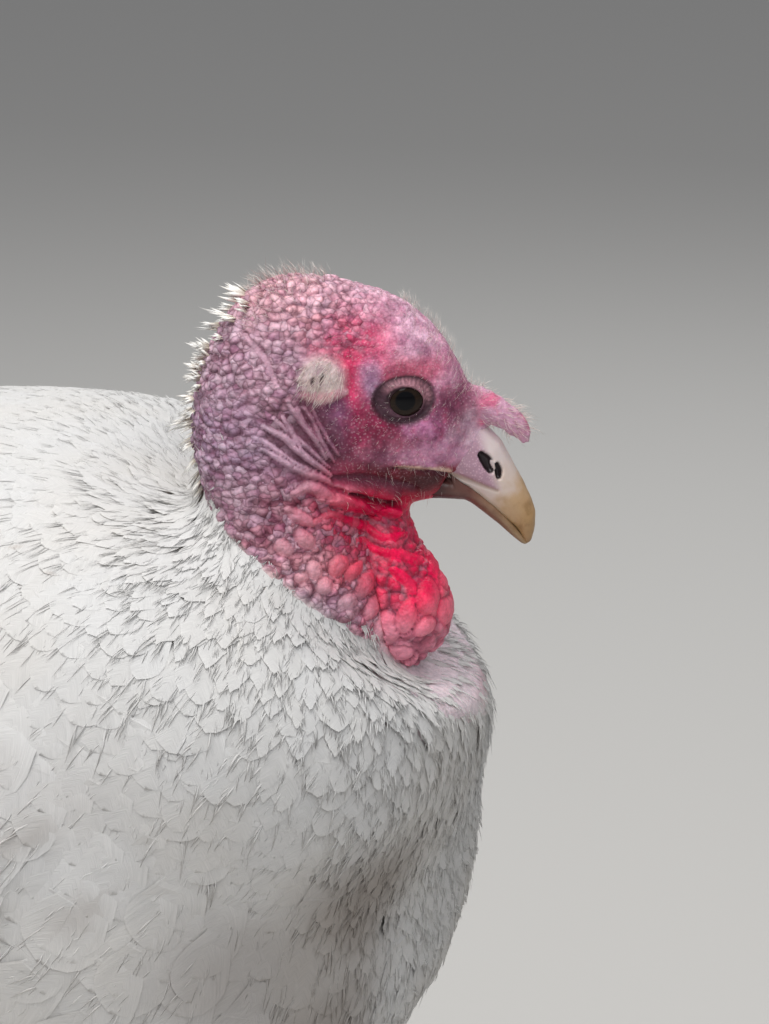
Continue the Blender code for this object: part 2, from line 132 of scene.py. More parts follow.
# ---- Skin -------------------------------------------------------------------------------------
# One hide covers the head, neck, body and legs with no seam. It is bare on the head, the upper neck
# and the legs, where it lies at the bird's outline; elsewhere it lies under the depth of the plumage.
FLESH = ["head", "neck_upper", "neck_lower", "trunk", "snood", "wattle", "tail"]
for side_name in ("right", "left"):
    FLESH += [f"{part}_{side_name}" for part in ("ear", "wing", "thigh", "shank", "foot")]
    FLESH += [f"toe_{toe}_{side_name}" for toe in ("inner", "middle", "outer", "hind")]
FUSE, WELD = 0.45 * MM, 0.01 * MM
SKIN_GRAIN = 1.5 * MM
WING_FLESH_BACK_TO, TAIL_FLESH_BACK_TO = 0.007, -0.143
PLUMAGE_DEPTH, THIGH_DEPTH = 13 * MM, 8 * MM
THIGH_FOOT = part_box("thigh_left")[0].z
COLLAR_AT, COLLAR_SLOPE, COLLAR_LONG = (-45, -36.6), -0.847, 1.31
HEAD_ABOVE, BARE_BELOW_COLLAR = 0.4, 5
BODY_FACES, HEAD_FACES = 40000, 140000


def opened(mesh):
    """A bmesh of a mesh."""
    bm = bmesh.new()
    bm.from_mesh(mesh)
    return bm


def node_copy(name):
    """A bmesh of a node's shape, with its loose triangles joined."""
    bm = opened(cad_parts[name].data)
    bmesh.ops.remove_doubles(bm, verts=bm.verts, dist=WELD)
    return bm


def swell(bm, by):
    """Moves every point of a bmesh out along its normal."""
    bm.normal_update()
    for vert, moved in [(v, v.co + v.normal * by) for v in bm.verts]:
        vert.co = moved


def smooth(bm, verts=None, factor=0.5):
    """Draws the points of a bmesh towards their neighbours."""
    verts = verts or bm.verts
    bmesh.ops.smooth_vert(bm, verts=verts, factor=factor, use_axis_x=True, use_axis_y=True, use_axis_z=True)


def tree_of(mesh):
    """A search tree of a mesh's faces."""
    bm = opened(mesh)
    tree = BVHTree.FromBMesh(bm)
    bm.free()
    return tree


def flesh_of(name, keep=()):
    """A copy of a node's shape, cut back to the near side of each plane and swollen to fuse."""
    bm = node_copy(name)
    for place, facing in keep:
        geometry = bm.verts[:] + bm.edges[:] + bm.faces[:]
        cut = bmesh.ops.bisect_plane(bm, geom=geometry, plane_co=place, plane_no=facing, clear_outer=True)
        rim = [e for e in cut["geom_cut"] if isinstance(e, bmesh.types.BMEdge)]
        bmesh.ops.contextual_create(bm, geom=rim)
    swell(bm, FUSE)
    return bm


def object_of(name, bm):
    """An object in the scene with a bmesh's shape, shaded smooth."""
    mesh = bpy.data.meshes.new(name)
    bm.to_mesh(mesh)
    bm.free()
    mesh.shade_smooth()
    return linked(name, mesh)


def settle(obj):
    """Replaces an object's mesh by the one that its modifiers make, and takes them off."""
    graph = bpy.context.evaluated_depsgraph_get()
    made = bpy.data.meshes.new_from_object(obj.evaluated_get(graph))
    obj.modifiers.clear()
    old, obj.data = obj.data, made
    bpy.data.meshes.remove(old)


def fused(name, solids, grain):
    """One closed surface round several solids, as a net of even squares."""
    bm = bmesh.new()
    for solid in solids:
        mesh = bpy.data.meshes.new("solid")
        solid.to_mesh(mesh)
        solid.free()
        bm.from_mesh(mesh)
        bpy.data.meshes.remove(mesh)
    obj = object_of(name, bm)
    net = obj.modifiers.new("net", "REMESH")
    net.mode, net.voxel_size = "VOXEL", grain
    settle(obj)
    return obj


def keep_largest(bm):
    """Removes every island of faces but the largest."""
    bm.verts.ensure_lookup_table()
    seen, largest = set(), set()
    for start in bm.verts:
        if start in seen:
            continue
        island, front = {start}, [start]
        while front:
            for edge in front.pop().link_edges:
                for vert in edge.verts:
                    if vert not in island:
                        island.add(vert)
                        front.append(vert)
        seen |= island
        if len(island) > len(largest):
            largest = island
    spare = [v for v in bm.verts if v not in largest]
    bmesh.ops.delete(bm, geom=spare, context="VERTS")


def rows_of(source, key):
    """Three numbers for each item of a mesh, as rows."""
    rows = np.empty(len(source) * 3, np.float32)
    source.foreach_get(key, rows)
    return rows.reshape(-1, 3).astype(np.float64)


def places(mesh):
    """The positions of a mesh's points as rows."""
    return rows_of(mesh.vertices, "co")


def ways_out(mesh):
    """The normals of a mesh's points as rows."""
    return rows_of(mesh.vertex_normals, "vector")


def put(mesh, rows):
    """Moves a mesh's points to the rows."""
    mesh.vertices.foreach_set("co", np.ascontiguousarray(rows, np.float32).ravel())
    mesh.update()


def ramp(values, low, high):
    """0 at low, 1 at high, eased between; low may be above high."""
    t = np.clip((values - low) / (high - low), 0, 1)
    return t * t * (3 - 2 * t)


def in_head(rows):
    """Columns forward, side and up of positions, in millimetres in the head's own frame."""
    off = rows - np.array(NECK_TOP)
    columns = (off @ np.array(HEAD_FORWARD), off @ np.array(HEAD_LEFT), off[:, 2])
    return np.stack(columns, 1) / MM


def below_collar(rows):
    """Millimetres below the slanting line where the plumage starts on the neck."""
    forward, _, up = in_head(rows).T
    return (COLLAR_AT[1] + COLLAR_SLOPE * (forward - COLLAR_AT[0]) - up) / COLLAR_LONG


def on_head(rows):
    """Whether each position is on the bare head and neck."""
    return (below_collar(rows) < BARE_BELOW_COLLAR) & (rows[:, 2] > HEAD_ABOVE)


wattle_tree = tree_of(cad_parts["wattle"].data)
wattle_low, wattle_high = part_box("wattle")


def on_wattle(rows):
    """1 on the bare wattle, easing to 0 just off it."""
    near, room = np.zeros(len(rows)), 4 * MM
    inside = ((rows > np.array(wattle_low) - room) & (rows < np.array(wattle_high) + room)).all(1)
    for index in np.nonzero(inside)[0]:
        near[index] = wattle_tree.find_nearest(Vector(rows[index]))[3]
    return np.where(inside, ramp(near, 3.5 * MM, 1.4 * MM), 0)


def coat_depth(rows):
    """How thick the plumage is over each position, in metres."""
    neck = ramp(below_collar(rows), -2, 55)
    x, y, z = rows.T
    leg = ramp(z, THIGH_FOOT + 2 * MM, THIGH_FOOT + 66 * MM)
    on_leg = ramp(z, 0.305, 0.255) * ramp(np.abs(y), 0.02, 0.04)
    deepest = PLUMAGE_DEPTH + (THIGH_DEPTH - PLUMAGE_DEPTH) * on_leg
    return deepest * neck * leg * (1 - on_wattle(rows))


solids = []
for name in FLESH:
    planes = ()
    if name.startswith("wing"):
        planes = [((WING_FLESH_BACK_TO, 0, 0), (-1, 0, 0))]
    if name == "tail":
        planes = [((TAIL_FLESH_BACK_TO, 0, 0), (-1, 0, 0))]
    solids.append(flesh_of(name, planes))
# The skin laps a little over the roots of the two bills.
lap = HEAD_FORWARD * 0.797 - UP * 0.604
solids.append(flesh_of("upper_bill", [(head_point(38.9, 0, -22) + lap * 2.6 * MM, lap)]))
lap = HEAD_FORWARD * 0.918 - UP * 0.397
solids.append(flesh_of("lower_bill", [(head_point(29, 0, -36.3) + lap * 2.2 * MM, lap)]))
solids += [flesh_of("eye_right"), flesh_of("eye_left")]
skin = fused("skin", solids, SKIN_GRAIN)
bm = opened(skin.data)
keep_largest(bm)
for _ in range(3):
    smooth(bm)
bm.to_mesh(skin.data)
bm.free()
skin.data.update()

# Sink the feathered skin by the coat's depth, in short steps that keep it smooth.
depth = coat_depth(places(skin.data))
feathered = depth > 0.4 * MM
edges = np.empty(len(skin.data.edges) * 2, np.int32)
skin.data.edges.foreach_get("vertices", edges)
edges = edges.reshape(-1, 2)
valence = np.bincount(edges.ravel(), minlength=len(depth)).astype(np.float64)


def evened(rows, times):
    """The rows drawn towards the mean of their neighbours."""
    near, far = edges.T
    for _ in range(times):
        total = np.stack(
            [
                np.bincount(near, rows[far, k], len(rows)) + np.bincount(far, rows[near, k], len(rows))
                for k in range(3)
            ],
            1,
        )
        rows = 0.5 * rows + 0.5 * total / valence[:, None]
    return rows


SINKS, EVENINGS = 6, 6
for _ in range(SINKS):
    rows = places(skin.data)
    sunk = rows - ways_out(skin.data) * (depth / SINKS)[:, None]
    rows = np.where(feathered[:, None], evened(sunk, EVENINGS), rows)
    put(skin.data, rows)

# Thin out the net on the body and the legs, and halve it on the bare head and neck.
others = skin.vertex_groups.new(name="body_and_legs")
others.add(np.nonzero(~on_head(places(skin.data)))[0].tolist(), 1.0, "REPLACE")


def thinned(obj, group, faces_kept):
    """Collapses the faces of a vertex group until only so many triangles of them are left."""
    index = obj.vertex_groups[group].index
    inside = sum(any(g.group == index for g in v.groups) for v in obj.data.vertices)
    share = inside / len(obj.data.vertices)
    total = sum(len(p.vertices) - 2 for p in obj.data.polygons)
    thin = obj.modifiers.new("thin", "DECIMATE")
    thin.vertex_group = group
    thin.ratio = ((1 - share) * total + faces_kept) / total
    settle(obj)


thinned(skin, "body_and_legs", BODY_FACES)
bm = opened(skin.data)
bare_points = on_head(places(skin.data))
bm.verts.ensure_lookup_table()
fine = [e for e in bm.edges if bare_points[e.verts[0].index] and bare_points[e.verts[1].index]]
bmesh.ops.subdivide_edges(bm, edges=fine, cuts=1, use_grid_fill=True)
for _ in range(2):
    smooth(bm, [v for v in bm.verts if v.co.z > HEAD_ABOVE])

# The lids: rings drawn inwards from the rim of a hole over each eyeball, down into the crease round
# the lid, up over its swollen edge, onto the eyeball, and a little way back behind it.
LID_CENTRE, LID_REACH, LID_HOLE = (18.9, 0.1), (11.2, 8.8), (11.8, 9.3)
EYE_BALL_AHEAD, EYE_BALL_OUT = 17.5, 12.6
EYE_BALL_RADIUS, EYE_BALL_BULGE, LID_WRINKLES = 9.5, 7.5, 34
# centre ahead, centre up, half length, half height, share of eyeball, stand-off, added at the top
LID_RINGS = (
    (18.9, 0.1, 11.3, 8.8, 0.00, -0.10, 0.0),
    (18.9, 0.1, 10.9, 8.4, 0.05, -0.45, 0.0),
    (18.9, 0.1, 10.4, 7.9, 0.12, -0.85, -0.1),
    (18.9, 0.1, 9.9, 7.4, 0.25, -0.60, 0.1),
    (18.9, 0.0, 9.3, 6.9, 0.42, 0.00, 0.4),
    (19.0, -0.1, 8.6, 6.5, 0.60, 0.55, 0.7),
    (19.1, -0.2, 7.9, 6.2, 0.78, 0.85, 0.8),
    (19.3, -0.4, 7.2, 5.9, 0.92, 0.90, 0.8),
    (19.5, -0.6, 6.6, 5.6, 1.00, 0.80, 0.6),
    (19.7, -0.8, 6.1, 5.35, 1.00, 0.50, 0.3),
    (19.8, -0.9, 5.8, 5.15, 1.00, 0.15, 0.0),
    (19.8, -0.9, 5.8, 5.10, 1.00, -0.25, 0.0),
    (19.6, -0.7, 6.8, 6.00, 1.00, -1.10, 0.0),
)


def ball_out(forward, up):
    """How far out the eyeball's surface lies at a place seen from the side."""
    square = ((forward - EYE_BALL_AHEAD) / EYE_BALL_RADIUS) ** 2 + (up / EYE_BALL_RADIUS) ** 2
    return EYE_BALL_OUT + EYE_BALL_BULGE * math.sqrt(max(0.04, 1 - square))


def head_frame_of(place):
    """A place as forward, side and up in millimetres in the head's own frame."""
    off = (place - NECK_TOP) / MM
    return off.dot(HEAD_FORWARD), off.dot(HEAD_LEFT), off.z


for side in (-1, 1):
    hole = []
    for face in bm.faces:
        forward, out, up = head_frame_of(face.calc_center_median())
        ahead, high = (forward - LID_CENTRE[0]) / LID_HOLE[0], (up - LID_CENTRE[1]) / LID_HOLE[1]
        if side * out > 4 and ahead**2 + high**2 < 1:
            hole.append(face)
    bmesh.ops.delete(bm, geom=hole, context="FACES")
    rim = [e for e in bm.edges if e.is_boundary]
    near_rim = {v for e in rim for v in e.verts}
    around = sorted(
        (math.atan2(up / LID_HOLE[1], (forward - LID_CENTRE[0]) / LID_HOLE[0]), side * out)
        for forward, out, up in (head_frame_of(v.co) for v in near_rim)
    )
    turns = np.array([a for a, _ in around])
    outs = np.array([o for _, o in around])
    turns = np.concatenate((turns - 2 * math.pi, turns, turns + 2 * math.pi))
    outs = np.convolve(np.tile(outs, 3), np.ones(9) / 9, "same")
    for ahead, high, length, height, on_ball, stand_off, at_top in LID_RINGS:
        made = bmesh.ops.extrude_edge_only(bm, edges=rim)["geom"]
        rim = [g for g in made if isinstance(g, bmesh.types.BMEdge) and g.is_boundary]
        for vert in {v for e in rim for v in e.verts}:
            forward, out, up = head_frame_of(vert.co)
            turn = math.atan2(up - LID_CENTRE[1], (forward - LID_CENTRE[0]) * LID_HOLE[1] / LID_HOLE[0])
            forward, up = ahead + length * math.cos(turn), high + height * math.sin(turn)
            hide = float(np.interp(turn, turns, outs))
            lifted = stand_off + at_top * max(0.0, math.sin(turn + 0.25)) ** 0.7
            out = hide + (ball_out(forward, up) - hide) * on_ball + lifted
            vert.co = head_point(forward, side * out, up)
bmesh.ops.recalc_face_normals(bm, faces=bm.faces)
bm.to_mesh(skin.data)
bm.free()
skin.data.update()

# The bare skin is sculpted into the tom's caruncles: pebbles on the crown and nape, wrinkles down the
# nape, long folds from the ear to the throat, and bulbs that grow towards the collar and the wattle.
# name: oval's middle, its reach, its tilt in degrees, a cell's length, breadth and height, the cells'
# tilt, how far they stand out
PEBBLED = {
    "crown": ((-16, 34), (27, 15), 0, 4.6, 4.4, 4.4, 0, 1.7),
    "front crown": ((12, 33), (13, 8), -20, 2.8, 2.8, 2.8, 0, 0.6),
    "upper nape": ((-46, 14), (16, 19), 0, 5.6, 5.6, 4.8, 20, 1.9),
    "temple": ((-26, 9), (10, 19), 0, 4.8, 4.6, 3.2, -35, 1.5),
    "over ear": ((-6, 21), (15, 6), 0, 3.2, 3.0, 2.6, 0, 0.8),
    "mid nape": ((-42, -20), (19, 20), 0, 8.5, 8.0, 3.2, -8, 1.6),
    "side of neck": ((-20, -44), (27, 17), -35, 9.5, 7.0, 4.8, -55, 2.8),
    "above collar": ((-19, -61), (34, 10), -40, 7.6, 7.0, 6.2, -30, 3.4),
    "throat": ((4, -48), (20, 12), -30, 11.0, 7.0, 2.8, -28, 1.8),
    "wattle": ((14, -70), (24, 20), -30, 6.6, 5.6, 4.4, -50, 2.4),
    "wattle foot": ((20, -90), (20, 13), 0, 9.0, 8.5, 8.0, -40, 3.0),
    "cheek": ((-2, -14), (17, 14), 0, 1.7, 1.7, 1.5, 0, 0.16),
    "face": ((24, 6), (24, 26), 0, 1.5, 1.5, 1.3, 0, 0.12),
}
# Folds as lines of places ahead and above, in millimetres, with half width and height.
FOLDS = (
    (((-26.5, -4.5), (-20.6, -9.6), (-13.5, -16.6), (-7.4, -22.6)), 1.0, 1.7),
    (((-18.6, -0.6), (-15.6, -6.8), (-10.9, -13.6), (-7.4, -18.6)), 0.9, 1.5),
    (((-13.4, -1.2), (-11.0, -6.4), (-7.4, -13.2), (-3.4, -18.4)), 0.9, 1.4),
    (((-33, -10.8), (-26.4, -15.0), (-18.4, -21.2), (-11, -25.0)), 1.3, 2.1),
    (((-31, -15.6), (-24.0, -18.6), (-17.4, -23.6)), 1.4, 2.1),
    (((-3, -37.6), (4.5, -40.8), (11.5, -41.2), (17.5, -42.6)), 1.3, 1.7),
    (((-30, -7.2), (-22.1, -11.8), (-15.2, -18.8), (-7.5, -25.2)), 1.5, 2.3),
    (((-23.1, -4.2), (-20.2, -8.7), (-17.2, -14.8)), 1.1, 1.5),
    (((-21.2, 0.5), (-17.2, -5.7), (-12.3, -12.8), (-8.4, -19.4)), 1.1, 1.8),
    (((-16.2, -1), (-13.3, -5.2), (-10.3, -12.8), (-5.4, -20.4)), 1.0, 1.6),
    (((-19.7, -21.7), (-12.2, -25.6), (-4.7, -28.9), (3, -31)), 1.5, 2.1),
    (((-2, -30.2), (8.1, -32.9), (16.5, -35.0)), 2.7, 2.8),
    (((-10.6, -32.8), (-2.6, -35), (5.5, -39.4), (15.5, -43.9)), 3.2, 3.6),
    (((-19.7, -30.6), (-15.4, -28.4), (-10.6, -31.1), (-7.9, -32.8)), 2.7, 2.4),
    (((-21.9, -36.1), (-17.6, -38.9), (-13.3, -41.1)), 2.6, 2.3),
    (((-12.2, -40.5), (-6.8, -39.4), (-1, -42.2), (6, -47.7), (11.4, -51), (17.8, -51.5)), 1.6, 1.7),
    (((2, -50), (9, -55), (17, -57), (24, -62)), 1.7, 1.5),
    (((-36, 22), (-29, 14), (-25, 7)), 1.3, 0.3),
    (((15, -62), (21, -68), (24, -76)), 2.3, 1.8),
    (((27, -62), (31, -70), (31, -78)), 2.6, 2.0),
)
# Bulbs: place ahead and above, half length, half breadth, tilt, height.
BULBS = (
    (-23.5, -49.4, 4.2, 3.1, -35, 2.6), (-16.5, -46.5, 5.2, 3.0, -55, 2.4),
    (-13.3, -57.8, 4.0, 2.9, -60, 2.6), (-5.0, -57.2, 3.9, 3.7, 0, 2.7),
    (-9.5, -63.0, 3.5, 3.3, 0, 2.6), (-17.6, -60.0, 2.7, 2.4, 0, 1.9),
    (-1.5, -69.9, 3.8, 3.0, 0, 2.4), (4.4, -66.2, 5.2, 3.8, 55, 2.7),
    (0.5, -60.5, 3.9, 3.1, 50, 2.2), (12.7, -82.5, 7.6, 5.4, 80, 3.6),
    (19.9, -77.7, 6.8, 3.6, 75, 2.9), (26.8, -73.4, 7.2, 4.1, -80, 2.9),
    (7.0, -74.8, 4.4, 3.4, 55, 2.2), (17.5, -92.0, 4.6, 4.0, 0, 2.4),
    (25.5, -82.5, 4.4, 3.4, 60, 2.4), (32.6, -79.5, 5.5, 3.2, -75, 2.2),
    (33.2, -69.5, 4.6, 2.8, -70, 1.8), (10.5, -90.5, 3.4, 3.0, 0, 2.0),
    (26.3, -11.2, 4.8, 3.9, -15, 1.25),
)
# Furrows: folds turned inwards, for the gape, the crease under the jaw and the two slits of the ear.
FURROWS = (
    (((15.5, -25.0), (20, -25.4), (29.1, -27.3), (38, -31.0)), 1.0, 1.3),
    (((-6, -27), (4, -28.4), (14, -31.5), (22, -34)), 2.6, 1.5),
    (((-1, -32.5), (8, -36.4), (15.5, -39.2)), 1.2, 1.5),
    (((-13.2, 7.0), (-12.6, 9.0)), 0.8, 1.0),
    (((-10.2, 7.4), (-9.2, 10.8)), 0.7, 0.9),
)
GAPE_RIM = (((13.5, -23.6), (19.6, -23.6), (29.1, -25.4), (38.9, -28.8)), 1.3, 0.7)
EAR_FOLD = (((-16, 3.0), (-9, 1.8), (-2, 4.0)), 1.9, 1.0)
EAR_MIDDLE, EAR_REACH = (-9.5, 9.0), (7.8, 7.2)
CELL_SCATTER, CELL_BORDER = 0.8, 0.50


def scrambled(cell, seed, salt):
    """A repeatable number from 0 to 1 for each row of whole numbers."""
    mix = cell[:, 0] * 73856093 ^ cell[:, 1] * 19349663 ^ cell[:, 2] * 83492791
    mix = (mix ^ (seed * 2654435 + salt * 97531)) & 0xFFFFFFFF
    for _ in range(2):
        mix = ((mix ^ (mix >> 15)) * 2246822519) & 0xFFFFFFFF
        mix = ((mix ^ (mix >> 13)) * 3266489917) & 0xFFFFFFFF
    return (mix ^ (mix >> 16)) / 0xFFFFFFFF


def pebbles(rows, seed):
    """For rows in cells: 0 at a border to 1 well inside, and a number for each cell."""
    base = np.floor(rows).astype(np.int64)
    first, second = np.full(len(rows), 9.0), np.full(len(rows), 9.0)
    owner = np.zeros(len(rows))
    for step in np.ndindex(3, 3, 3):
        cell = base + np.array(step) - 1
        spot = np.stack([scrambled(cell, seed, salt) for salt in (1, 2, 3)], 1)
        gap = np.linalg.norm(rows - cell - 0.5 - (spot - 0.5) * CELL_SCATTER, axis=1)
        closer = gap < first
        second = np.where(closer, first, np.minimum(second, gap))
        owner = np.where(closer, scrambled(cell, seed, 4), owner)
        first = np.minimum(first, gap)
    return np.clip((second - first) / CELL_BORDER, 0, 1), owner


def drift(rows, size, seed):
    """Smooth noise from -1 to 1 at positions in millimetres, with blobs of a size."""
    rows = rows / size
    base = np.floor(rows).astype(np.int64)
    part = rows - base
    part = part * part * (3 - 2 * part)
    total = np.zeros(len(rows))
    for step in np.ndindex(2, 2, 2):
        weight = np.prod(np.where(step, part, 1 - part), 1)
        total += weight * scrambled(base + np.array(step), seed, 7)
    return 2 * total - 1


def tilted(ahead, high, tilt):
    """Places on the side of the head along and across a line that is tilted by degrees."""
    turn = math.radians(tilt)
    return ahead * math.cos(turn) + high * math.sin(turn), high * math.cos(turn) - ahead * math.sin(turn)


def oval(forward, up, middle, reach, tilt=0, edge=0.35):
    """1 inside a tilted oval on the side of the head, easing to 0 across its edge."""
    along, across = tilted(forward - middle[0], up - middle[1], tilt)
    return ramp(np.hypot(along / reach[0], across / reach[1]), 1 + edge, 1 - edge)


def ridge(forward, up, line, half_width):
    """A rounded ridge of height 1 along a line of places, tapering at its two ends."""
    best = np.zeros(len(forward))
    lengths = [math.dist(a, b) for a, b in zip(line, line[1:])]
    whole, done = sum(lengths), 0.0
    for (a, b), length in zip(zip(line, line[1:]), lengths):
        heading = ((b[0] - a[0]) / length, (b[1] - a[1]) / length)
        ahead, high = forward - a[0], up - a[1]
        along = np.clip(ahead * heading[0] + high * heading[1], 0, length)
        off = np.hypot(ahead - along * heading[0], high - along * heading[1])
        share = (done + along) / whole
        width = half_width * (0.55 + 0.45 * np.sin(math.pi * np.clip(share, 0.03, 0.97)) ** 0.5)
        best = np.maximum(best, np.clip(1 - (off / width) ** 2, 0, 1) ** 0.7)
        done += length
    return best


rows = places(skin.data)
normals = ways_out(skin.data)
forward, out, up = in_head(rows).T
spots = rows / MM
wander = np.stack([drift(spots, 7.0, seed) for seed in (21, 22, 23)], 1)
bent = np.stack((forward, out, up), 1) + 1.1 * wander
height, furrow, lone = np.zeros(len(rows)), np.zeros(len(rows)), np.full(len(rows), 0.5)
share = np.zeros(len(rows))
front_share = ramp(forward, 20, 32)
bare = ramp(below_collar(rows) + 6 * front_share, 8.0, 3.0)
bare = np.maximum(bare, on_wattle(rows))
pebbly, folded = np.zeros(len(rows)), np.zeros(len(rows))
for seed, row in enumerate(PEBBLED.values()):
    middle, reach, tilt, length, breadth, tall, cell_tilt, stand_out = row
    weight = oval(forward, up, middle, reach, tilt)
    some = weight > 0
    along, across = tilted(bent[some, 0], bent[some, 2], cell_tilt)
    cells = np.stack((along / length, bent[some, 1] / breadth, across / tall), 1)
    inside, owner = pebbles(cells, seed)
    dome = np.sqrt(1 - (1 - inside) ** 2)
    height[some] += weight[some] * stand_out * dome * (0.55 + 0.45 * owner)
    furrow[some] += weight[some] * (1 - inside) ** 1.6 * min(1.0, 0.25 + stand_out)
    lone[some] = np.where(weight[some] > 0.5, owner, lone[some])
    share += weight
    pebbly = np.maximum(pebbly, weight * min(1.0, stand_out / 1.4))
height, furrow = height / np.maximum(share, 1), furrow / np.maximum(share, 1)
bent_ahead, bent_up = forward + 0.7 * wander[:, 0], up + 0.7 * wander[:, 2]
for line, half_width, stand_out in FOLDS:
    rise = ridge(bent_ahead, bent_up, line, half_width)
    wrinkle = 1 + 0.10 * drift(spots, 1.6, 41)
    height = np.where(rise > 0, 0.35 * height * (1 - rise) + stand_out * rise * wrinkle, height)
    furrow = np.where(rise > 0, np.clip(1 - 1.7 * rise, 0, 1) ** 1.3, furrow)
    pebbly = pebbly * (1 - 0.75 * ramp(rise, 0, 0.4))
    folded = np.maximum(folded, rise)
for ahead, high, length, breadth, tilt, stand_out in BULBS:
    along, across = tilted(bent_ahead - ahead, bent_up - high, tilt)
    rise = np.clip(1 - (along / length) ** 2 - (across / breadth) ** 2, 0, 1) ** 0.62
    beads = 1 + 0.06 * drift(spots, 1.5, 42)
    height = np.where(rise > 0, 0.3 * height * (1 - rise) + stand_out * rise * beads, height)
    furrow = np.where(rise > 0, np.clip(1 - 1.8 * rise, 0, 1) ** 1.3, furrow)
    pebbly = pebbly * (1 - 0.8 * ramp(rise, 0, 0.4))
for line, half_width, depth_in in FURROWS:
    fall = ridge(bent_ahead, up, line, half_width)
    height -= depth_in * fall
    furrow = np.maximum(furrow, fall**1.5)
for line, half_width, stand_out in (GAPE_RIM, EAR_FOLD):
    height += stand_out * ridge(forward, up, line, half_width)
around_eye = np.hypot((forward - LID_CENTRE[0]) / LID_REACH[0], (up - LID_CENTRE[1]) / LID_REACH[1])
eye_turn = np.arctan2(up, forward - LID_CENTRE[0])
on_side = ramp(np.abs(out), 8, 12)
lid = ramp(around_eye, 1.05, 0.95) * on_side
snood = ramp(forward, 43, 47) * ramp(up, -24, -20) * ramp(np.abs(out), 9, 7)
off_bill = (rows - np.array(head_point(44, 0, -14))) @ np.array(HEAD_FORWARD * 0.5 + UP * 0.86)
snood *= ramp(off_bill, 0, 3 * MM)
crease = 0.22 * np.sin(2.2 * (forward + 0.6 * up) + 2.5 * drift(spots, 3.0, 43))
height = height * (1 - lid) * (1 - 0.8 * snood) + snood * crease
height += 0.10 * drift(spots, 1.3, 31) + 0.25 * drift(spots, 5.0, 32) * (1 - lid)
lid_lines = np.sin(LID_WRINKLES * eye_turn + 2 * drift(spots, 2.0, 33))
height *= 1 + 0.25 * (1 - lid) * (1 - snood)
height += lid * 0.07 * lid_lines * ramp(around_eye, 0.55, 0.75)
height = np.where((forward > 36) & (snood < 0.1), height * 0.4, height)
put(skin.data, rows + normals * (height * bare * MM)[:, None])

# The markings, by the name of each patch: place ahead and above, its reach, and its colour. The jaw and chin
# patches are dark skin deepened by painted shade under the jaw.
MARKINGS = {
    "crown": ((-20, 36), (16, 9), (0.88, 0.46, 0.52)),
    "front of crown": ((6, 40), (14, 8), (0.86, 0.52, 0.64)),
    "forehead": ((24, 28), (13, 9), (0.72, 0.44, 0.58)),
    "brow of bill": ((38, 14), (7, 12), (0.62, 0.30, 0.44)),
    "red temple": ((2, 23), (10, 7), (0.84, 0.045, 0.17)),
    "red bar": ((1.5, 9), (3.4, 9), (0.66, 0.03, 0.12)),
    "red brow": ((26, 10.5), (8, 3), (0.62, 0.13, 0.21)),
    "lilac by eye": ((6, 8), (3, 5), (0.46, 0.30, 0.46)),
    "cheek": ((4, -9), (8, 7), (0.25, 0.010, 0.055)),
    "violet cheek": ((-4, -6), (4, 7), (0.20, 0.09, 0.19)),
    "under eye": ((31, -6), (7, 3), (0.20, 0.045, 0.11)),
    "bead": ((26, -10.5), (4.5, 3.5), (0.52, 0.19, 0.36)),
    "lore": ((38, -2), (6, 6), (0.19, 0.028, 0.07)),
    "root of bill": ((44, -13), (5, 6), (0.60, 0.44, 0.52)),
    "lip": ((29, -20), (14, 3), (0.56, 0.28, 0.42)),
    "low cheek": ((14, -17), (9, 4), (0.27, 0.07, 0.12)),
    # jaw and chin: dark skin deepened by painted shade
    "jaw": ((6, -27), (14, 3.5), (0.07, 0.012, 0.018)),
    "chin": ((24, -33), (10, 4), (0.13, 0.035, 0.035)),
    "throat": ((4, -39), (22, 8), (0.60, 0.0, 0.055)),
    "ropes": ((-14, -12), (8, 11), (0.20, 0.05, 0.10)),
    "long fold": ((-20, -16), (6, 6), (0.52, 0.30, 0.42)),
    "red fold root": ((-6, -27), (6, 4), (0.68, 0.05, 0.15)),
    "behind ear": ((-26, 12), (9, 12), (0.54, 0.31, 0.40)),
    "upper nape": ((-48, 14), (10, 12), (0.48, 0.31, 0.39)),
    "nape": ((-46, -14), (12, 14), (0.29, 0.18, 0.28)),
    "low nape": ((-40, -34), (10, 8), (0.34, 0.20, 0.25)),
    "side of neck": ((-26, -38), (9, 9), (0.30, 0.09, 0.14)),
    "near bulbs": ((-20, -55), (10, 7), (0.60, 0.22, 0.27)),
    "collar": ((-8, -70), (12, 5), (0.48, 0.30, 0.37)),
    "wattle": ((16, -60), (13, 12), (0.86, 0.0, 0.07)),
    "wattle front": ((27, -73), (8, 9), (0.86, 0.0, 0.075)),
    "wattle bulbs": ((13, -87), (12, 9), (0.97, 0.26, 0.38)),
    "wattle back": ((-3, -62), (6, 6), (0.66, 0.12, 0.17)),
}
UNDER_PLUMAGE, CROP_LILAC, LEG_PINK = (0.84, 0.78, 0.75), (0.70, 0.58, 0.62), (0.60, 0.40, 0.36)
SNOOD_PINK, SNOOD_RED, EAR_PALE = (0.62, 0.33, 0.46), (0.62, 0.08, 0.18), (0.66, 0.56, 0.54)
# the lid's violet is deepened by painted shade, and the crease round the lid is painted shade
LID_PALE, LID_VIOLET_SHADE, CREASE_SHADE = (0.40, 0.19, 0.23), (0.075, 0.032, 0.048), (0.03, 0.012, 0.018)
GAPE_STRIP = ((16, -24.3), (24.5, -25.5), (31.9, -26.6), (37.5, -28.6))
# painted shade for the furrows of the bare skin
FURROW_SHADE = np.array((0.16, 0.05, 0.08))


def toward(colours, colour, weight):
    """The rows of colour moved towards one colour by each row's weight."""
    return colours + (np.array(colour) - colours) * np.asarray(weight)[:, None]


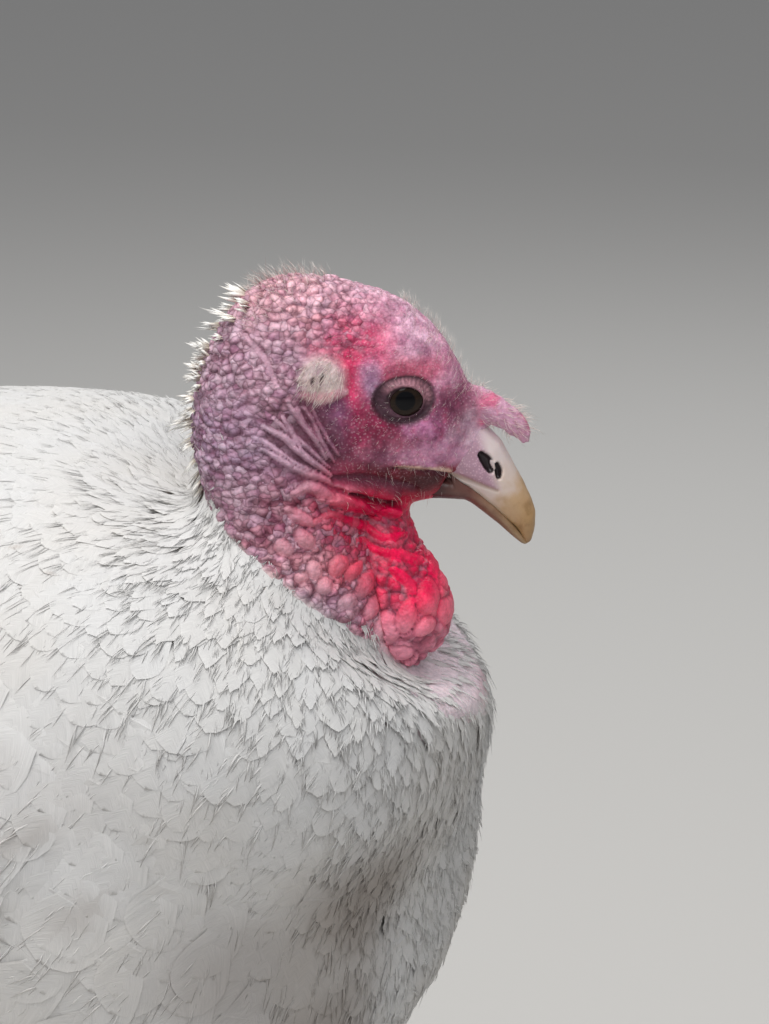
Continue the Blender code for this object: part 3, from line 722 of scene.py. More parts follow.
total, colours = np.full(len(rows), 1e-6), np.zeros((len(rows), 3))
blurred = 1.2 * drift(spots, 4.0, 51), 1.2 * drift(spots, 4.0, 52)
for middle, reach, colour in MARKINGS.values():
    far = ((forward + blurred[0] - middle[0]) / reach[0]) ** 2
    far += ((up + blurred[1] - middle[1]) / reach[1]) ** 2
    weight = np.exp(-0.9 * far) + 1e-5 * np.exp(-0.02 * far)
    total += weight
    colours += weight[:, None] * np.array(colour)
colours /= total[:, None]
face = oval(forward, up, (18, 4), (36, 34), 0, 0.3)
red = 0.5 + 0.5 * drift(spots, 2.6, 61) + 0.6 * drift(spots, 1.3, 62)
colours = toward(colours, (0.62, 0.07, 0.16), 0.34 * ramp(red, 0.5, 1.2) * face * ramp(forward, -20, 0))
colours = toward(colours, (0.74, 0.56, 0.66), 0.30 * ramp(-red, 0.1, 0.8) * face)
colours = toward(colours, EAR_PALE, oval(forward, up, EAR_MIDDLE, EAR_REACH) * on_side)
# painted shadow under the jaw, below the gape
under_jaw_shade = oval(forward, up, (27, -31.5), (13, 4.6), -4, 0.5) * on_side
colours = toward(colours, (0.06, 0.014, 0.018), 0.95 * under_jaw_shade)
colours = toward(colours, (0.66, 0.34, 0.38), ridge(forward, up, EAR_FOLD[0], 2.4) ** 0.5 * on_side)
colours = toward(colours, SNOOD_PINK, snood)
colours = toward(colours, SNOOD_RED, 0.7 * snood * ramp(drift(spots, 4.0, 63), 0.0, 0.7))
lid_top = np.sin(eye_turn + 0.35)
pale_lid = lid * ramp(lid_top, -0.1, 0.45)
# the lid ring goes deep violet, partly its own colour and partly painted shade; the pale top covers it above,
# so the shade shows below and behind
colours = toward(colours, LID_VIOLET_SHADE, lid * ramp(around_eye, 1.0, 0.9))
colours = toward(colours, LID_PALE, pale_lid * ramp(around_eye, 0.95, 0.80))
# painted shade in the crease round the lid, fading towards the top, and at the lid's inner rim against the
# eyeball
in_crease = ramp(np.abs(around_eye - 0.96 + 0.02 * lid_lines), 0.13, 0.03) * on_side
in_crease = in_crease * (1 - 0.8 * ramp(lid_top, -0.1, 0.6))
colours = toward(colours, CREASE_SHADE, 0.85 * in_crease)
colours = toward(colours, CREASE_SHADE, ramp(around_eye, 0.58, 0.52) * lid)
# each cell keeps its own tone; the tops of the raised pebbles and folds get a painted highlight
crest_highlight = ramp(height, 0.4, 2.4) * (1 - furrow) * (1 - oval(forward, up, (14, -52), (24, 26), 0, 0.2))
colours = toward(colours * (0.86 + 0.28 * lone)[:, None], (0.78, 0.60, 0.66), 0.22 * crest_highlight)
# painted shade darkens the furrows between pebbles, folds and bulbs
colours = toward(colours, FURROW_SHADE, 0.80 * np.clip(furrow * (1 - lid), 0, 1))
# painted shade between the rope-like folds below the ear
shade_between_ropes = oval(forward, up, (-16, -13), (17, 12), -40, 0.4) * ramp(folded, 0.55, 0.1)
colours = toward(colours, 0.7 * FURROW_SHADE, 0.78 * shade_between_ropes * on_side)
# painted shade in the wrinkles of the lid
colours = toward(colours, LID_VIOLET_SHADE, 0.6 * lid * ramp(lid_lines, 0.1, 0.8))
gape_horn = ridge(forward, up, GAPE_STRIP, 1.25) * on_side
colours = toward(colours, (0.60, 0.42, 0.33), 0.9 * ramp(gape_horn, 0.1, 0.5))
# painted shade in the two slits of the ear
ear_slit_shade = np.maximum(*(ridge(forward, up, FURROWS[k][0], 1.0) for k in (3, 4)))
colours = toward(colours, (0.10, 0.06, 0.06), 0.9 * ear_slit_shade * on_side)
legs = ramp(rows[:, 2], 0.26, 0.22)
feathered = (1 - bare) * (1 - legs)
colours = toward(colours, UNDER_PLUMAGE, feathered)
on_crop = oval(forward, up, (34, -98), (26, 26), 0, 0.5)
colours = toward(colours, CROP_LILAC, on_crop * (1 - on_wattle(rows)))
colours = toward(colours, LEG_PINK, legs)
tint = skin.data.attributes.new("tint", "FLOAT_COLOR", "POINT")
tint.data.foreach_set("color", np.hstack((np.clip(colours, 0, 1), np.ones((len(rows), 1)))).ravel())
ear = oval(forward, up, EAR_MIDDLE, (8.2, 7.6), 0, 0.3) * on_side


def write(obj, name, values):
    """Stores a number for each point of a piece."""
    made = obj.data.attributes.new(name, "FLOAT", "POINT")
    made.data.foreach_set("value", np.ascontiguousarray(values, np.float32))


write(skin, "granules", face * (1 - lid) * (1 - snood) * bare)
write(skin, "pebbly", pebbly * bare * (1 - 0.6 * on_wattle(rows)) * (1 - lid) * (1 - snood) * (1 - ear))
write(skin, "wetness", oval(forward, up, (14, -62), (26, 32), -20, 0.3) * bare)

# Even out the sculpting a little, and keep the piece's triangles where the folds need them.
bm = opened(skin.data)
smooth(bm, [v for v in bm.verts if v.co.z > HEAD_ABOVE], 0.35)
bm.to_mesh(skin.data)
bm.free()
skin.vertex_groups.clear()
bare_points = np.nonzero(on_head(places(skin.data)))[0]
skin.vertex_groups.new(name="head").add(bare_points.tolist(), 1.0, "REPLACE")
thinned(skin, "head", HEAD_FACES)
skin.vertex_groups.clear()
skin.data.shade_smooth()


def finish(name, roughness, settings=()):
    """A new material, a function that adds a node to it, and one that joins an output to its shader."""
    material = bpy.data.materials.new(name)
    material.use_nodes = True
    tree = material.node_tree
    shader = tree.nodes["Principled BSDF"]
    for socket, value in {"Roughness": roughness, **dict(settings)}.items():
        shader.inputs[socket].default_value = value

    def node(kind, _sockets=None, **values):
        made = tree.nodes.new(kind)
        for key, value in values.items():
            setattr(made, key, value)
        for key, value in (_sockets or {}).items():
            if isinstance(value, bpy.types.NodeSocket):
                tree.links.new(value, made.inputs[key])
            else:
                made.inputs[key].default_value = value
        return made

    def join(output, socket):
        tree.links.new(output, shader.inputs[socket])

    return material, node, join


def mixed(node, share, first, second, kind="MIX"):
    """Mixes two colours by a share, in a blend mode."""
    mix = node("ShaderNodeMix", data_type="RGBA", blend_type=kind)
    tree = mix.id_data
    for socket, value in ((mix.inputs[0], share), (mix.inputs[6], first), (mix.inputs[7], second)):
        if isinstance(value, bpy.types.NodeSocket):
            tree.links.new(value, socket)
        else:
            socket.default_value = (*value, 1) if isinstance(value, tuple) else value
    return mix.outputs[2]


def span(node, value, low, high, to_low=0.0, to_high=1.0):
    """A number carried from one range to another, held at its ends."""
    sockets = {"Value": value, "From Min": low, "From Max": high, "To Min": to_low, "To Max": to_high}
    return node("ShaderNodeMapRange", sockets).outputs["Result"]


def arithmetic(node, operation, *values):
    """One step of arithmetic on numbers that vary over the surface."""
    return node("ShaderNodeMath", dict(enumerate(values)), operation=operation).outputs[0]


def stored(node, name):
    """The numbers stored on a piece under a name."""
    return node("ShaderNodeAttribute", attribute_name=name).outputs["Fac"]


def noise(node, at, scale, detail, rough=0.5):
    """Cloudy noise round 0.5, with so many clouds to a metre."""
    sockets = {"Vector": at, "Scale": scale, "Detail": detail, "Roughness": rough}
    return node("ShaderNodeTexNoise", sockets).outputs["Fac"]


def grey(node, value):
    """A grey as bright as the value."""
    return node("ShaderNodeCombineColor", {0: value, 1: value, 2: value}).outputs[0]


def bump(node, height, strength, distance):
    """A relief of the surface as its shader sees it."""
    return node("ShaderNodeBump", {"Height": height, "Strength": strength, "Distance": distance}).outputs[0]


hide, node, join = finish("bare_skin", 0.46, {
    "Subsurface Weight": 0.07,
    "Subsurface Radius": (1.0, 0.32, 0.22),
    "Subsurface Scale": 1.6 * MM,
    "Specular IOR Level": 0.24,
})
at = node("ShaderNodeTexCoord").outputs["Object"]
painted = node("ShaderNodeAttribute", attribute_name="tint").outputs["Color"]
granular = stored(node, "granules")
wetted = stored(node, "wetness")
pores = node("ShaderNodeTexVoronoi", {"Vector": at, "Scale": 900.0, "Randomness": 0.9})
mottle = noise(node, at, 420.0, 4.0, 0.6)
pale_dot = span(node, pores.outputs["Distance"], 0.42, 0.10)
dotted = arithmetic(node, "MULTIPLY", pale_dot, granular)
dotted = arithmetic(node, "MULTIPLY", dotted, 0.24)
colour = mixed(node, dotted, painted, (0.82, 0.62, 0.68))
pebbled = stored(node, "pebbly")
warp = node("ShaderNodeTexNoise", {"Vector": at, "Scale": 260.0, "Detail": 2.0}).outputs["Color"]
warped = mixed(node, 0.0016, at, warp, "LINEAR_LIGHT")
squat = node("ShaderNodeVectorMath", {0: warped, 1: (1.0, 1.0, 1.3)}, operation="MULTIPLY").outputs[0]
cells = {"Vector": squat, "Scale": 285.0, "Randomness": 0.95}
lobe = node("ShaderNodeTexVoronoi", cells)
lobe_edge = node("ShaderNodeTexVoronoi", cells, feature="DISTANCE_TO_EDGE").outputs["Distance"]
# painted shade in the cracks between the lobes
crack_shade = span(node, lobe_edge, 0.0, 0.10, 1.0, 0.0)
crack_shade = arithmetic(node, "MULTIPLY", crack_shade, pebbled)
each_lobe = node("ShaderNodeSeparateColor", {"Color": lobe.outputs["Color"]})
pale_share = span(node, each_lobe.outputs[0], 0.35, 1.0, 0.0, 0.42)
pale_share = arithmetic(node, "MULTIPLY", pale_share, pebbled)
colour = mixed(node, pale_share, colour, (0.74, 0.56, 0.66))
deep_share = span(node, each_lobe.outputs[1], 0.5, 1.0, 0.0, 0.30)
deep_share = arithmetic(node, "MULTIPLY", deep_share, pebbled)
colour = mixed(node, deep_share, colour, (0.34, 0.13, 0.26))
# painted highlight and shade: each lobe is lighter in its middle and darker towards its edges
bright = span(node, lobe_edge, 0.0, 0.34, 0.80, 1.16)
colour = mixed(node, pebbled, colour, grey(node, bright), "MULTIPLY")
gap_shade_share = arithmetic(node, "MULTIPLY", crack_shade, 0.5)
gap = mixed(node, 1.0, colour, (0.34, 0.17, 0.24), "MULTIPLY")
colour = mixed(node, gap_shade_share, colour, gap)
blotch = noise(node, at, 150.0, 4.0, 0.65)
blotched = mixed(node, span(node, blotch, 0.35, 0.65), (0.66, 0.50, 0.60), (1.25, 1.28, 1.25))
colour = mixed(node, granular, colour, blotched, "MULTIPLY")
shade = span(node, mottle, 0.30, 0.70, 0.76, 1.18)
colour = mixed(node, 1.0, colour, grey(node, shade), "MULTIPLY")
join(colour, "Base Color")
join(span(node, wetted, 0.0, 1.0, 0.50, 0.40), "Roughness")
fine = noise(node, at, 1500.0, 3.0)
lumps = arithmetic(node, "MULTIPLY", pores.outputs["Distance"], -1.0)
relief = arithmetic(node, "ADD", lumps, fine)
dome = arithmetic(node, "POWER", lobe.outputs["Distance"], 2.0)
dome = span(node, dome, 0.0, 0.5, 1.0, 0.0)
dome = arithmetic(node, "POWER", dome, 0.7)
dome = arithmetic(node, "MULTIPLY", dome, 4.5)
dome = arithmetic(node, "MULTIPLY", dome, pebbled)
relief = arithmetic(node, "ADD", relief, dome)
join(bump(node, relief, 0.55, 0.35 * MM), "Normal")
skin.data.materials.clear()
skin.data.materials.append(hide)
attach(skin, "root")
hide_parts(*FLESH)

# ---- Eyes -------------------------------------------------------------------------------------
# Wet eyeballs, flatter than they are wide, of a brown so dark that the pupil hardly shows in it. The
# lids of the skin close round them.
EYE_SEGMENTS, EYE_RINGS = 40, 26
PUPIL, IRIS, PUPIL_AT = 3.3 * MM, 5.4 * MM, (19.4, -0.3)
eye_finish, node, join = finish("wet_eye", 0.05, {"Specular IOR Level": 0.16})
ring = stored(node, "from_axis")
fibres = noise(node, node("ShaderNodeTexCoord").outputs["Object"], 900.0, 2.0)
brown = mixed(node, fibres, (0.010, 0.006, 0.005), (0.030, 0.017, 0.010))
dark = mixed(node, span(node, ring, PUPIL, PUPIL * 1.15), (0.003, 0.003, 0.004), brown)
join(mixed(node, span(node, ring, IRIS, IRIS * 1.2), dark, (0.02, 0.014, 0.014)), "Base Color")
for side_name, side in (("right", -1), ("left", 1)):
    bm = bmesh.new()
    bmesh.ops.create_uvsphere(bm, u_segments=EYE_SEGMENTS, v_segments=EYE_RINGS, radius=1)
    wide, deep = EYE_BALL_RADIUS * MM, EYE_BALL_BULGE * MM
    axes = Matrix((HEAD_FORWARD * wide, HEAD_LEFT * deep, UP * wide)).transposed().to_4x4()
    centre = head_point(EYE_BALL_AHEAD, side * EYE_BALL_OUT, 0)
    bmesh.ops.transform(bm, matrix=Matrix.Translation(centre) @ axes, verts=bm.verts)
    eye = object_of(f"eyeball_{side_name}", bm)
    forward, _, up = in_head(places(eye.data)).T
    write(eye, "from_axis", np.hypot(forward - PUPIL_AT[0], up - PUPIL_AT[1]) * MM)
    eye.data.materials.append(eye_finish)
    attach(eye, "root")
    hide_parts(f"eye_{side_name}")

# ---- Bill -------------------------------------------------------------------------------------
# A hooked upper bill of pale horn that wears to tan at the tip, with a flap over each nostril and a
# thick pale edge, and a thin reddish-brown lower bill that closes up under it.
BILL_GRAIN = 0.5 * MM
# Lines of places with a half width, the flap's oval, and how deep or high each is, in millimetres.
NOSTRIL = (((46.6, -22.8), (48.6, -25.2), (49.8, -28.2)), 2.4)
SECOND_HOLE = (((52.3, -26.6), (52.8, -28.8), (52.8, -31.0)), 1.6)
NOSTRIL_LIP = (((44.6, -23.4), (47.0, -28.2), (51.6, -32.4)), 1.2)
FLAP = ((51.0, -26.6), (2.0, 0.9), -62)
HOLE_DEPTH, LIP_HEIGHT, FLAP_HEIGHT, EDGE_HEIGHT, GROOVE_DEPTH = 2.4, 0.2, 0.9, 0.42, 0.35
EDGE_LINE = (
    (16.7, -25.4), (29.2, -29.9), (37.8, -34.4), (45.5, -40.3),
    (52.2, -46.3), (57.0, -50.3), (61, -54.6), (63.5, -57),
)
PALE_STRIP = tuple((ahead, high + 2.2) for ahead, high in EDGE_LINE[:6])
EDGE_GROOVE = ((29.2, -27.9), (38.8, -30.6), (47.4, -34.2), (52.2, -36.0))


def regrown(name, node_name, grain, smooths, swollen):
    """An even, smooth copy of a coarse CAD node, swollen back by what the smoothing takes."""
    obj = fused(name, [node_copy(node_name)], grain)
    bm = opened(obj.data)
    keep_largest(bm)
    for _ in range(smooths):
        smooth(bm)
    swell(bm, swollen)
    bm.to_mesh(obj.data)
    bm.free()
    obj.data.shade_smooth()
    return obj


upper = regrown("bill_upper", "upper_bill", BILL_GRAIN, 10, 0.22 * MM)
rows = places(upper.data)
forward, out, up = in_head(rows).T
steps = np.arange(forward.min() + 1, forward.max() - 1, 1.0)
near = [np.abs(forward - step) < 1.0 for step in steps]
top = np.interp(forward, steps, [up[at].max() for at in near])
bottom = np.interp(forward, steps, [up[at].min() for at in near])
stretch = np.clip((top - up) / (top - bottom), 0, 1) ** 2.0
wanted = np.interp(forward, *np.array(EDGE_LINE).T)
rows[:, 2] += (wanted - bottom) * stretch * ramp(forward, 22, 30) * ramp(forward, 63, 58) * MM
put(upper.data, rows)
normals = ways_out(upper.data)
forward, out, up = in_head(rows).T
sided = ramp(np.abs(out), 2.0, 4.5)
pit = np.maximum(*(ridge(forward, up, *hole) for hole in (NOSTRIL, SECOND_HOLE))) * sided
lip = ridge(forward, up, *NOSTRIL_LIP) * sided
flap = oval(forward, up, *FLAP, 0.25) * sided
edge = ridge(forward, up, PALE_STRIP, 2.6)
groove = ridge(forward, up, EDGE_GROOVE, 1.3) * sided
grain_lines = drift(np.stack((forward * 0.35 - up * 0.35, out * 2.2, forward + up), 1), 2.2, 71)
relief = -HOLE_DEPTH * pit + FLAP_HEIGHT * flap * np.maximum(pit, 0.35) + LIP_HEIGHT * lip
relief += EDGE_HEIGHT * edge - GROOVE_DEPTH * groove + 0.06 * grain_lines
above_groove = up - np.interp(forward, *np.array(EDGE_GROOVE).T)
fleshy = ramp(forward + 0.35 * up, 42.5, 37.5) * ramp(above_groove, -0.6, 0.8)
relief += 0.12 * drift(rows / MM, 1.2, 72) * fleshy
put(upper.data, rows + normals * (relief * MM)[:, None])
write(upper, "along", np.clip((forward - 0.9 * (up + 12) - 46) / 60, 0, 1))
write(upper, "fleshy", fleshy * (1 - edge))
write(upper, "nostril_shade", np.clip(pit * 1.4 - flap, 0, 1))
write(upper, "edge", edge)
write(upper, "groove", groove)

horn, node, join = finish("bill_horn", 0.36, {
    "Subsurface Weight": 0.10,
    "Subsurface Radius": (1.0, 0.5, 0.3),
    "Subsurface Scale": 1.2 * MM,
})
at = node("ShaderNodeTexCoord").outputs["Object"]
blot = noise(node, at, 160.0, 4.0)
specks = node("ShaderNodeTexVoronoi", {"Vector": at, "Scale": 1100.0}).outputs["Distance"]
along = stored(node, "along")
wandering = arithmetic(node, "ADD", along, span(node, blot, 0.3, 0.7, -0.07, 0.07))
tone = node("ShaderNodeValToRGB", {"Fac": wandering})
stops = (
    (0.0, (0.60, 0.46, 0.50, 1)),
    (0.22, (0.66, 0.56, 0.55, 1)),
    (0.46, (0.62, 0.50, 0.44, 1)),
    (0.62, (0.50, 0.33, 0.19, 1)),
    (0.84, (0.42, 0.25, 0.11, 1)),
    (1.0, (0.30, 0.17, 0.08, 1)),
)
while len(tone.color_ramp.elements) < len(stops):
    tone.color_ramp.elements.new(0.5)
for element, (place, colour) in zip(tone.color_ramp.elements, stops):
    element.position, element.color = place, colour
flesh = mixed(node, span(node, specks, 0.15, 0.45), (0.58, 0.38, 0.46), (0.42, 0.25, 0.32))
fleshiness = stored(node, "fleshy")
colour = mixed(node, fleshiness, tone.outputs["Color"], flesh)
rim = stored(node, "edge")
rim_tone = mixed(node, span(node, along, 0.25, 0.75), (0.72, 0.62, 0.56), (0.44, 0.27, 0.12))
colour = mixed(node, span(node, rim, 0.35, 0.8, 0.0, 0.75), colour, rim_tone)
# painted shade along the groove above the bill's edge
groove_shade = stored(node, "groove")
colour = mixed(node, span(node, groove_shade, 0.3, 1.0, 0.0, 0.55), colour, (0.25, 0.14, 0.08))
fleck = span(node, blot, 0.56, 0.66, 0.0, 0.5)
tipward = arithmetic(node, "MULTIPLY", fleck, span(node, along, 0.45, 0.8))
colour = mixed(node, tipward, colour, (0.22, 0.12, 0.05))
# painted shade: the nostril holes are coloured nearly black
nostril_shade = stored(node, "nostril_shade")
join(mixed(node, span(node, nostril_shade, 0.15, 0.7), colour, (0.018, 0.010, 0.012)), "Base Color")
wear = noise(node, at, 700.0, 3.0)
join(span(node, wear, 0.3, 0.7, 0.28, 0.48), "Roughness")
join(bump(node, wear, 0.35, 0.25 * MM), "Normal")
upper.data.materials.append(horn)
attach(upper, "root")
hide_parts("upper_bill")

LOWER_RISE = 7.5 * MM
lower = regrown("bill_lower", "lower_bill", BILL_GRAIN, 8, 0.25 * MM)
roof = tree_of(upper.data)
rows, normals = places(lower.data), ways_out(lower.data)
forward, _, up = in_head(rows).T
tipward = np.clip((forward - 42) / 14, 0, 1.2) ** 1.5
rows += (tipward * 4.2 * MM)[:, None] * np.array(HEAD_FORWARD)
rows[:, 2] += (1.9 * ramp(forward, 36, 44) * ramp(forward, 58, 50) - 3.2 * tipward) * MM
closing = HEAD_FORWARD * -0.35 + UP * 0.94
for index, (row, normal) in enumerate(zip(rows, normals)):
    faces_up = max(0.0, float(np.dot(normal, closing)))
    if faces_up > 0.05:
        hit = roof.ray_cast(Vector(row) - closing * 2 * MM, closing, 12 * MM)
        room = hit[3] - 2.3 * MM if hit[0] is not None else 1.2 * MM
        rows[index] += np.array(closing) * min(max(room, 0), LOWER_RISE) * min(1.0, 1.6 * faces_up)
put(lower.data, rows)
forward, out, up = in_head(rows).T
write(lower, "along", np.clip((forward - 27) / 33, 0, 1))
horn_below, node, join = finish("lower_bill_horn", 0.40)
at = node("ShaderNodeTexCoord").outputs["Object"]
blot = noise(node, at, 190.0, 4.0)
along = stored(node, "along")
body_tone = mixed(node, span(node, blot, 0.3, 0.7), (0.13, 0.045, 0.035), (0.22, 0.10, 0.075))
tip_tone = mixed(node, span(node, blot, 0.3, 0.7), (0.24, 0.14, 0.07), (0.38, 0.26, 0.15))
# painted shade: the lower bill goes nearly black at its root, under the gape
body_tone = mixed(node, span(node, along, 0.15, 0.5), (0.05, 0.014, 0.014), body_tone)
join(mixed(node, span(node, along, 0.45, 0.95), body_tone, tip_tone), "Base Color")
wear = noise(node, at, 800.0, 3.0)
join(bump(node, wear, 0.4, 0.25 * MM), "Normal")
lower.data.materials.append(horn_below)
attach(lower, "root")
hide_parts("lower_bill")

# ---- Claws and spurs --------------------------------------------------------------------------
# Short blunt claws of grey-brown horn on the eight toes, and the young tom's two low spurs. Each is
# drawn smooth from its plain solid.
claw_horn, node, join = finish("claw_horn", 0.42)
at = node("ShaderNodeTexCoord").outputs["Object"]
stretch = node("ShaderNodeMapping", {"Vector": at, "Scale": (0.3, 1.6, 1.0)}).outputs["Vector"]
streak = noise(node, stretch, 420.0, 4.0)
join(mixed(node, streak, (0.24, 0.17, 0.13), (0.50, 0.41, 0.34)), "Base Color")
join(bump(node, streak, 0.4, 0.3 * MM), "Normal")
for side_name in ("right", "left"):
    for part in ("claw_inner", "claw_middle", "claw_outer", "claw_hind", "spur"):
        name = f"{part}_{side_name}"
        horny = regrown(f"{name}_horn", name, 0.7 * MM, 3, 0.12 * MM)
        horny.data.materials.append(claw_horn)
        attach(horny, "root")
        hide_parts(name)

# ---- Scales of the legs -----------------------------------------------------------------------
# Horny plates grow out of the bare skin of the legs: two rows of broad plates down the front of each
# shank, small round scales on its sides and back, and a row of bands along the top of each toe.
skin_tree = tree_of(skin.data)
PLATE_HEIGHT, PLATE_SINK = 0.55 * MM, 0.45 * MM
SHANK_LOW, SHANK_HIGH, SHANK_TOP = 34 * MM, 196 * MM, 0.21
ROW_HEIGHT, SCALE_BREADTH, OFF_MIDDLE = 4.4 * MM, 4.3 * MM, 14 * MM
BAND_EVERY, TOE_TOP = 3.9, 40 * MM
# Toe: its angle from straight ahead, outward, then from where to where, and its top's half width.
TOES = {
    "inner": (-36, 16, 70, 4.6), "middle": (0, 14, 88, 5.0),
    "outer": (36, 16, 72, 4.6), "hind": (-162, 14, 40, 3.8),
}


def plate_template():
    """One closed plate with a low crown, its corners drawn in and its foot wider than its top."""
    bm = bmesh.new()
    bmesh.ops.create_grid(bm, x_segments=2, y_segments=2, size=1)
    for vert in bm.verts:
        corner = abs(vert.co.x) > 0.5 and abs(vert.co.y) > 0.5
        vert.co.xy *= 0.74 if corner else 0.96
        vert.co.z = 1 if vert.co.length < 0.1 else 0.72
    rim = bmesh.ops.extrude_edge_only(bm, edges=[e for e in bm.edges if e.is_boundary])["geom"]
    for vert in (g for g in rim if isinstance(g, bmesh.types.BMVert)):
        vert.co.xy *= 1.12
        vert.co.z = -1
    bmesh.ops.holes_fill(bm, edges=[e for e in bm.edges if e.is_boundary], sides=8)
    bmesh.ops.recalc_face_normals(bm, faces=bm.faces)
    return object_of("plate", bm)


def joined_copies(template, count):
    """A mesh of many copies of a template, made by an array."""
    obj = template.copy()
    bpy.context.scene.collection.objects.link(obj)
    array = obj.modifiers.new("copies", "ARRAY")
    array.count, array.use_relative_offset = count, False
    graph = bpy.context.evaluated_depsgraph_get()
    mesh = bpy.data.meshes.new_from_object(obj.evaluated_get(graph))
    bpy.data.objects.remove(obj)
    return mesh


def on_skin(rows):
    """The nearest places on the skin and the way out of it there."""
    found = [skin_tree.find_nearest(Vector(row)) for row in rows]
    return np.array([f[0] for f in found]), np.array([f[1] for f in found])


def unit(rows):
    """The rows made one long."""
    return rows / np.maximum(np.linalg.norm(rows, axis=-1), 1e-12)[..., None]


plates = []
leg_points = places(skin.data)
leg_points = leg_points[leg_points[:, 2] < SHANK_TOP]
for hand, side_name in ((1, "left"), (-1, "right")):
    own = leg_points[leg_points[:, 1] * hand > 0]
    for row, z in enumerate(np.arange(SHANK_LOW, SHANK_HIGH, ROW_HEIGHT)):
        ring = own[np.abs(own[:, 2] - z) < 3 * MM]
        middle = (ring[:, :2].min(0) + ring[:, :2].max(0)) / 2
        around = (np.ptp(ring[:, 0]) + np.ptp(ring[:, 1])) / 2 * math.pi
        number = round(around / SCALE_BREADTH)
        for k in range(number):
            angle = 2 * math.pi * (k + 0.5 * (row % 2)) / number
            if math.cos(angle) > 0.35:
                continue
            spot = middle + OFF_MIDDLE * np.array((math.cos(angle), math.sin(angle)))
            plates.append((spot[0], spot[1], z, 0, 0, -1, 2.15, 2.3, 0.8))
        if row % 2 == 0:
            for turn in (-0.42, 0.42):
                spot = middle + OFF_MIDDLE * np.array((math.cos(turn), math.sin(turn)))
                height = z + 1.5 * MM * np.sign(turn)
                plates.append((spot[0], spot[1], height, 0, 0, -1, around / MM * 0.072, 4.6, 1.0))
    low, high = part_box(f"foot_{side_name}")
    foot = (low + high) / 2
    for angle, start, end, half in TOES.values():
        way = math.radians(angle) * hand
        ahead = np.array((math.cos(way), math.sin(way), 0))
        across = np.array((-ahead[1], ahead[0], 0))
        steps = np.arange(start, end, BAND_EVERY)
        for index, far in enumerate(steps):
            narrow = 1 - 0.25 * index / len(steps)
            top = np.array((foot.x, foot.y, TOE_TOP)) + ahead * far * MM
            plates.append((*top, *ahead, half * narrow, 2.1, 1.0))
            for lean in (-1, 1):
                beside = top + across * lean * 30 * MM - np.array((0, 0, 28 * MM))
                plates.append((*beside, *ahead, 1.9, 1.9, 0.7))
plates = np.array(plates)
plate = plate_template()
spots, outward = on_skin(plates[:, :3])
ahead = unit(plates[:, 3:6] - outward * (plates[:, 3:6] * outward).sum(1)[:, None])
across = np.cross(ahead, outward)
u, v, crown = places(plate.data).T
size = plates[:, 6:8, None] * MM
broad, deep = (size[:, 0] * u)[:, :, None], (size[:, 1] * v)[:, :, None]
flat = spots[:, None] + across[:, None] * broad + ahead[:, None] * deep
resting, out = on_skin(flat.reshape(-1, 3))
raised = np.where(crown > 0, crown * PLATE_HEIGHT, crown * PLATE_SINK)[None, :] * plates[:, 8:9]
mesh = joined_copies(plate, len(plates))
put(mesh, resting + out * raised.reshape(-1, 1))
mesh.shade_smooth()
leg_scales = linked("leg_scales", mesh)
bpy.data.objects.remove(plate)
write(leg_scales, "shade", np.repeat(np.random.RandomState(77).uniform(0, 1, len(plates)), len(u)))

scale_horn, node, join = finish("scale_horn", 0.48)
at = node("ShaderNodeTexCoord").outputs["Object"]
cloudy = noise(node, at, 160.0, 3.0)
fine = noise(node, at, 1400.0, 2.0)
by_plate = stored(node, "shade")
greyed = span(node, by_plate, 0.0, 1.0, 0.0, 0.5)
colour = mixed(node, greyed, (0.66, 0.46, 0.40), (0.55, 0.40, 0.37))
join(mixed(node, span(node, cloudy, 0.5, 0.75), colour, (0.74, 0.60, 0.52)), "Base Color")
join(span(node, fine, 0.3, 0.7, 0.42, 0.58), "Roughness")
join(bump(node, fine, 0.3, 0.15 * MM), "Normal")
leg_scales.data.materials.append(scale_horn)
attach(leg_scales, "root")

# ---- Plumage ----------------------------------------------------------------------------------
# White feathers, each a closed vane with a shaft, that overlap like shingles from the collar back.
# They follow a smooth net at the bird's outline: roots reach down to the skin and tips lie at the net.
NET_GRAIN = 5 * MM
LIE_FROM = head_point(-18, 0, -28)
SHAFT_DROP = 2.2 * MM
VANE_STATIONS = np.array((0, 0.2, 0.38, 0.54, 0.68, 0.80, 0.90, 0.97, 1.0))
PATH_STEPS = 7
COAT_PIECE_FACES = 190000
rng = np.random.RandomState(2417)

solids = [flesh_of(name) for name in ("neck_upper", "neck_lower", "trunk", "tail")]
for side_name in ("right", "left"):
    solids += [flesh_of(f"{part}_{side_name}") for part in ("wing", "thigh")]
net = fused("coat_net", solids, NET_GRAIN)
bm = opened(net.data)
keep_largest(bm)
for _ in range(4):
    smooth(bm)
bmesh.ops.triangulate(bm, faces=bm.faces)
bm.normal_update()
bm.to_mesh(net.data)
net_tree = BVHTree.FromBMesh(bm)
bm.free()
bpy.context.view_layer.objects.active = net
net.select_set(True)
bpy.ops.object.mode_set(mode="EDIT")
bpy.ops.mesh.select_all(action="SELECT")
bpy.ops.uv.smart_project(angle_limit=math.radians(66), island_margin=0.004)
bpy.ops.object.mode_set(mode="OBJECT")
net_points, net_normals = places(net.data), ways_out(net.data)
net_faces = np.empty(len(net.data.polygons) * 3, np.int32)
net.data.polygons.foreach_get("vertices", net_faces)
net_faces = net_faces.reshape(-1, 3)
net_map = np.empty(len(net.data.loops) * 2, np.float32)
net.data.uv_layers.active.data.foreach_get("uv", net_map)
net_map = net_map.reshape(-1, 3, 2).astype(np.float64)
bpy.data.objects.remove(net)


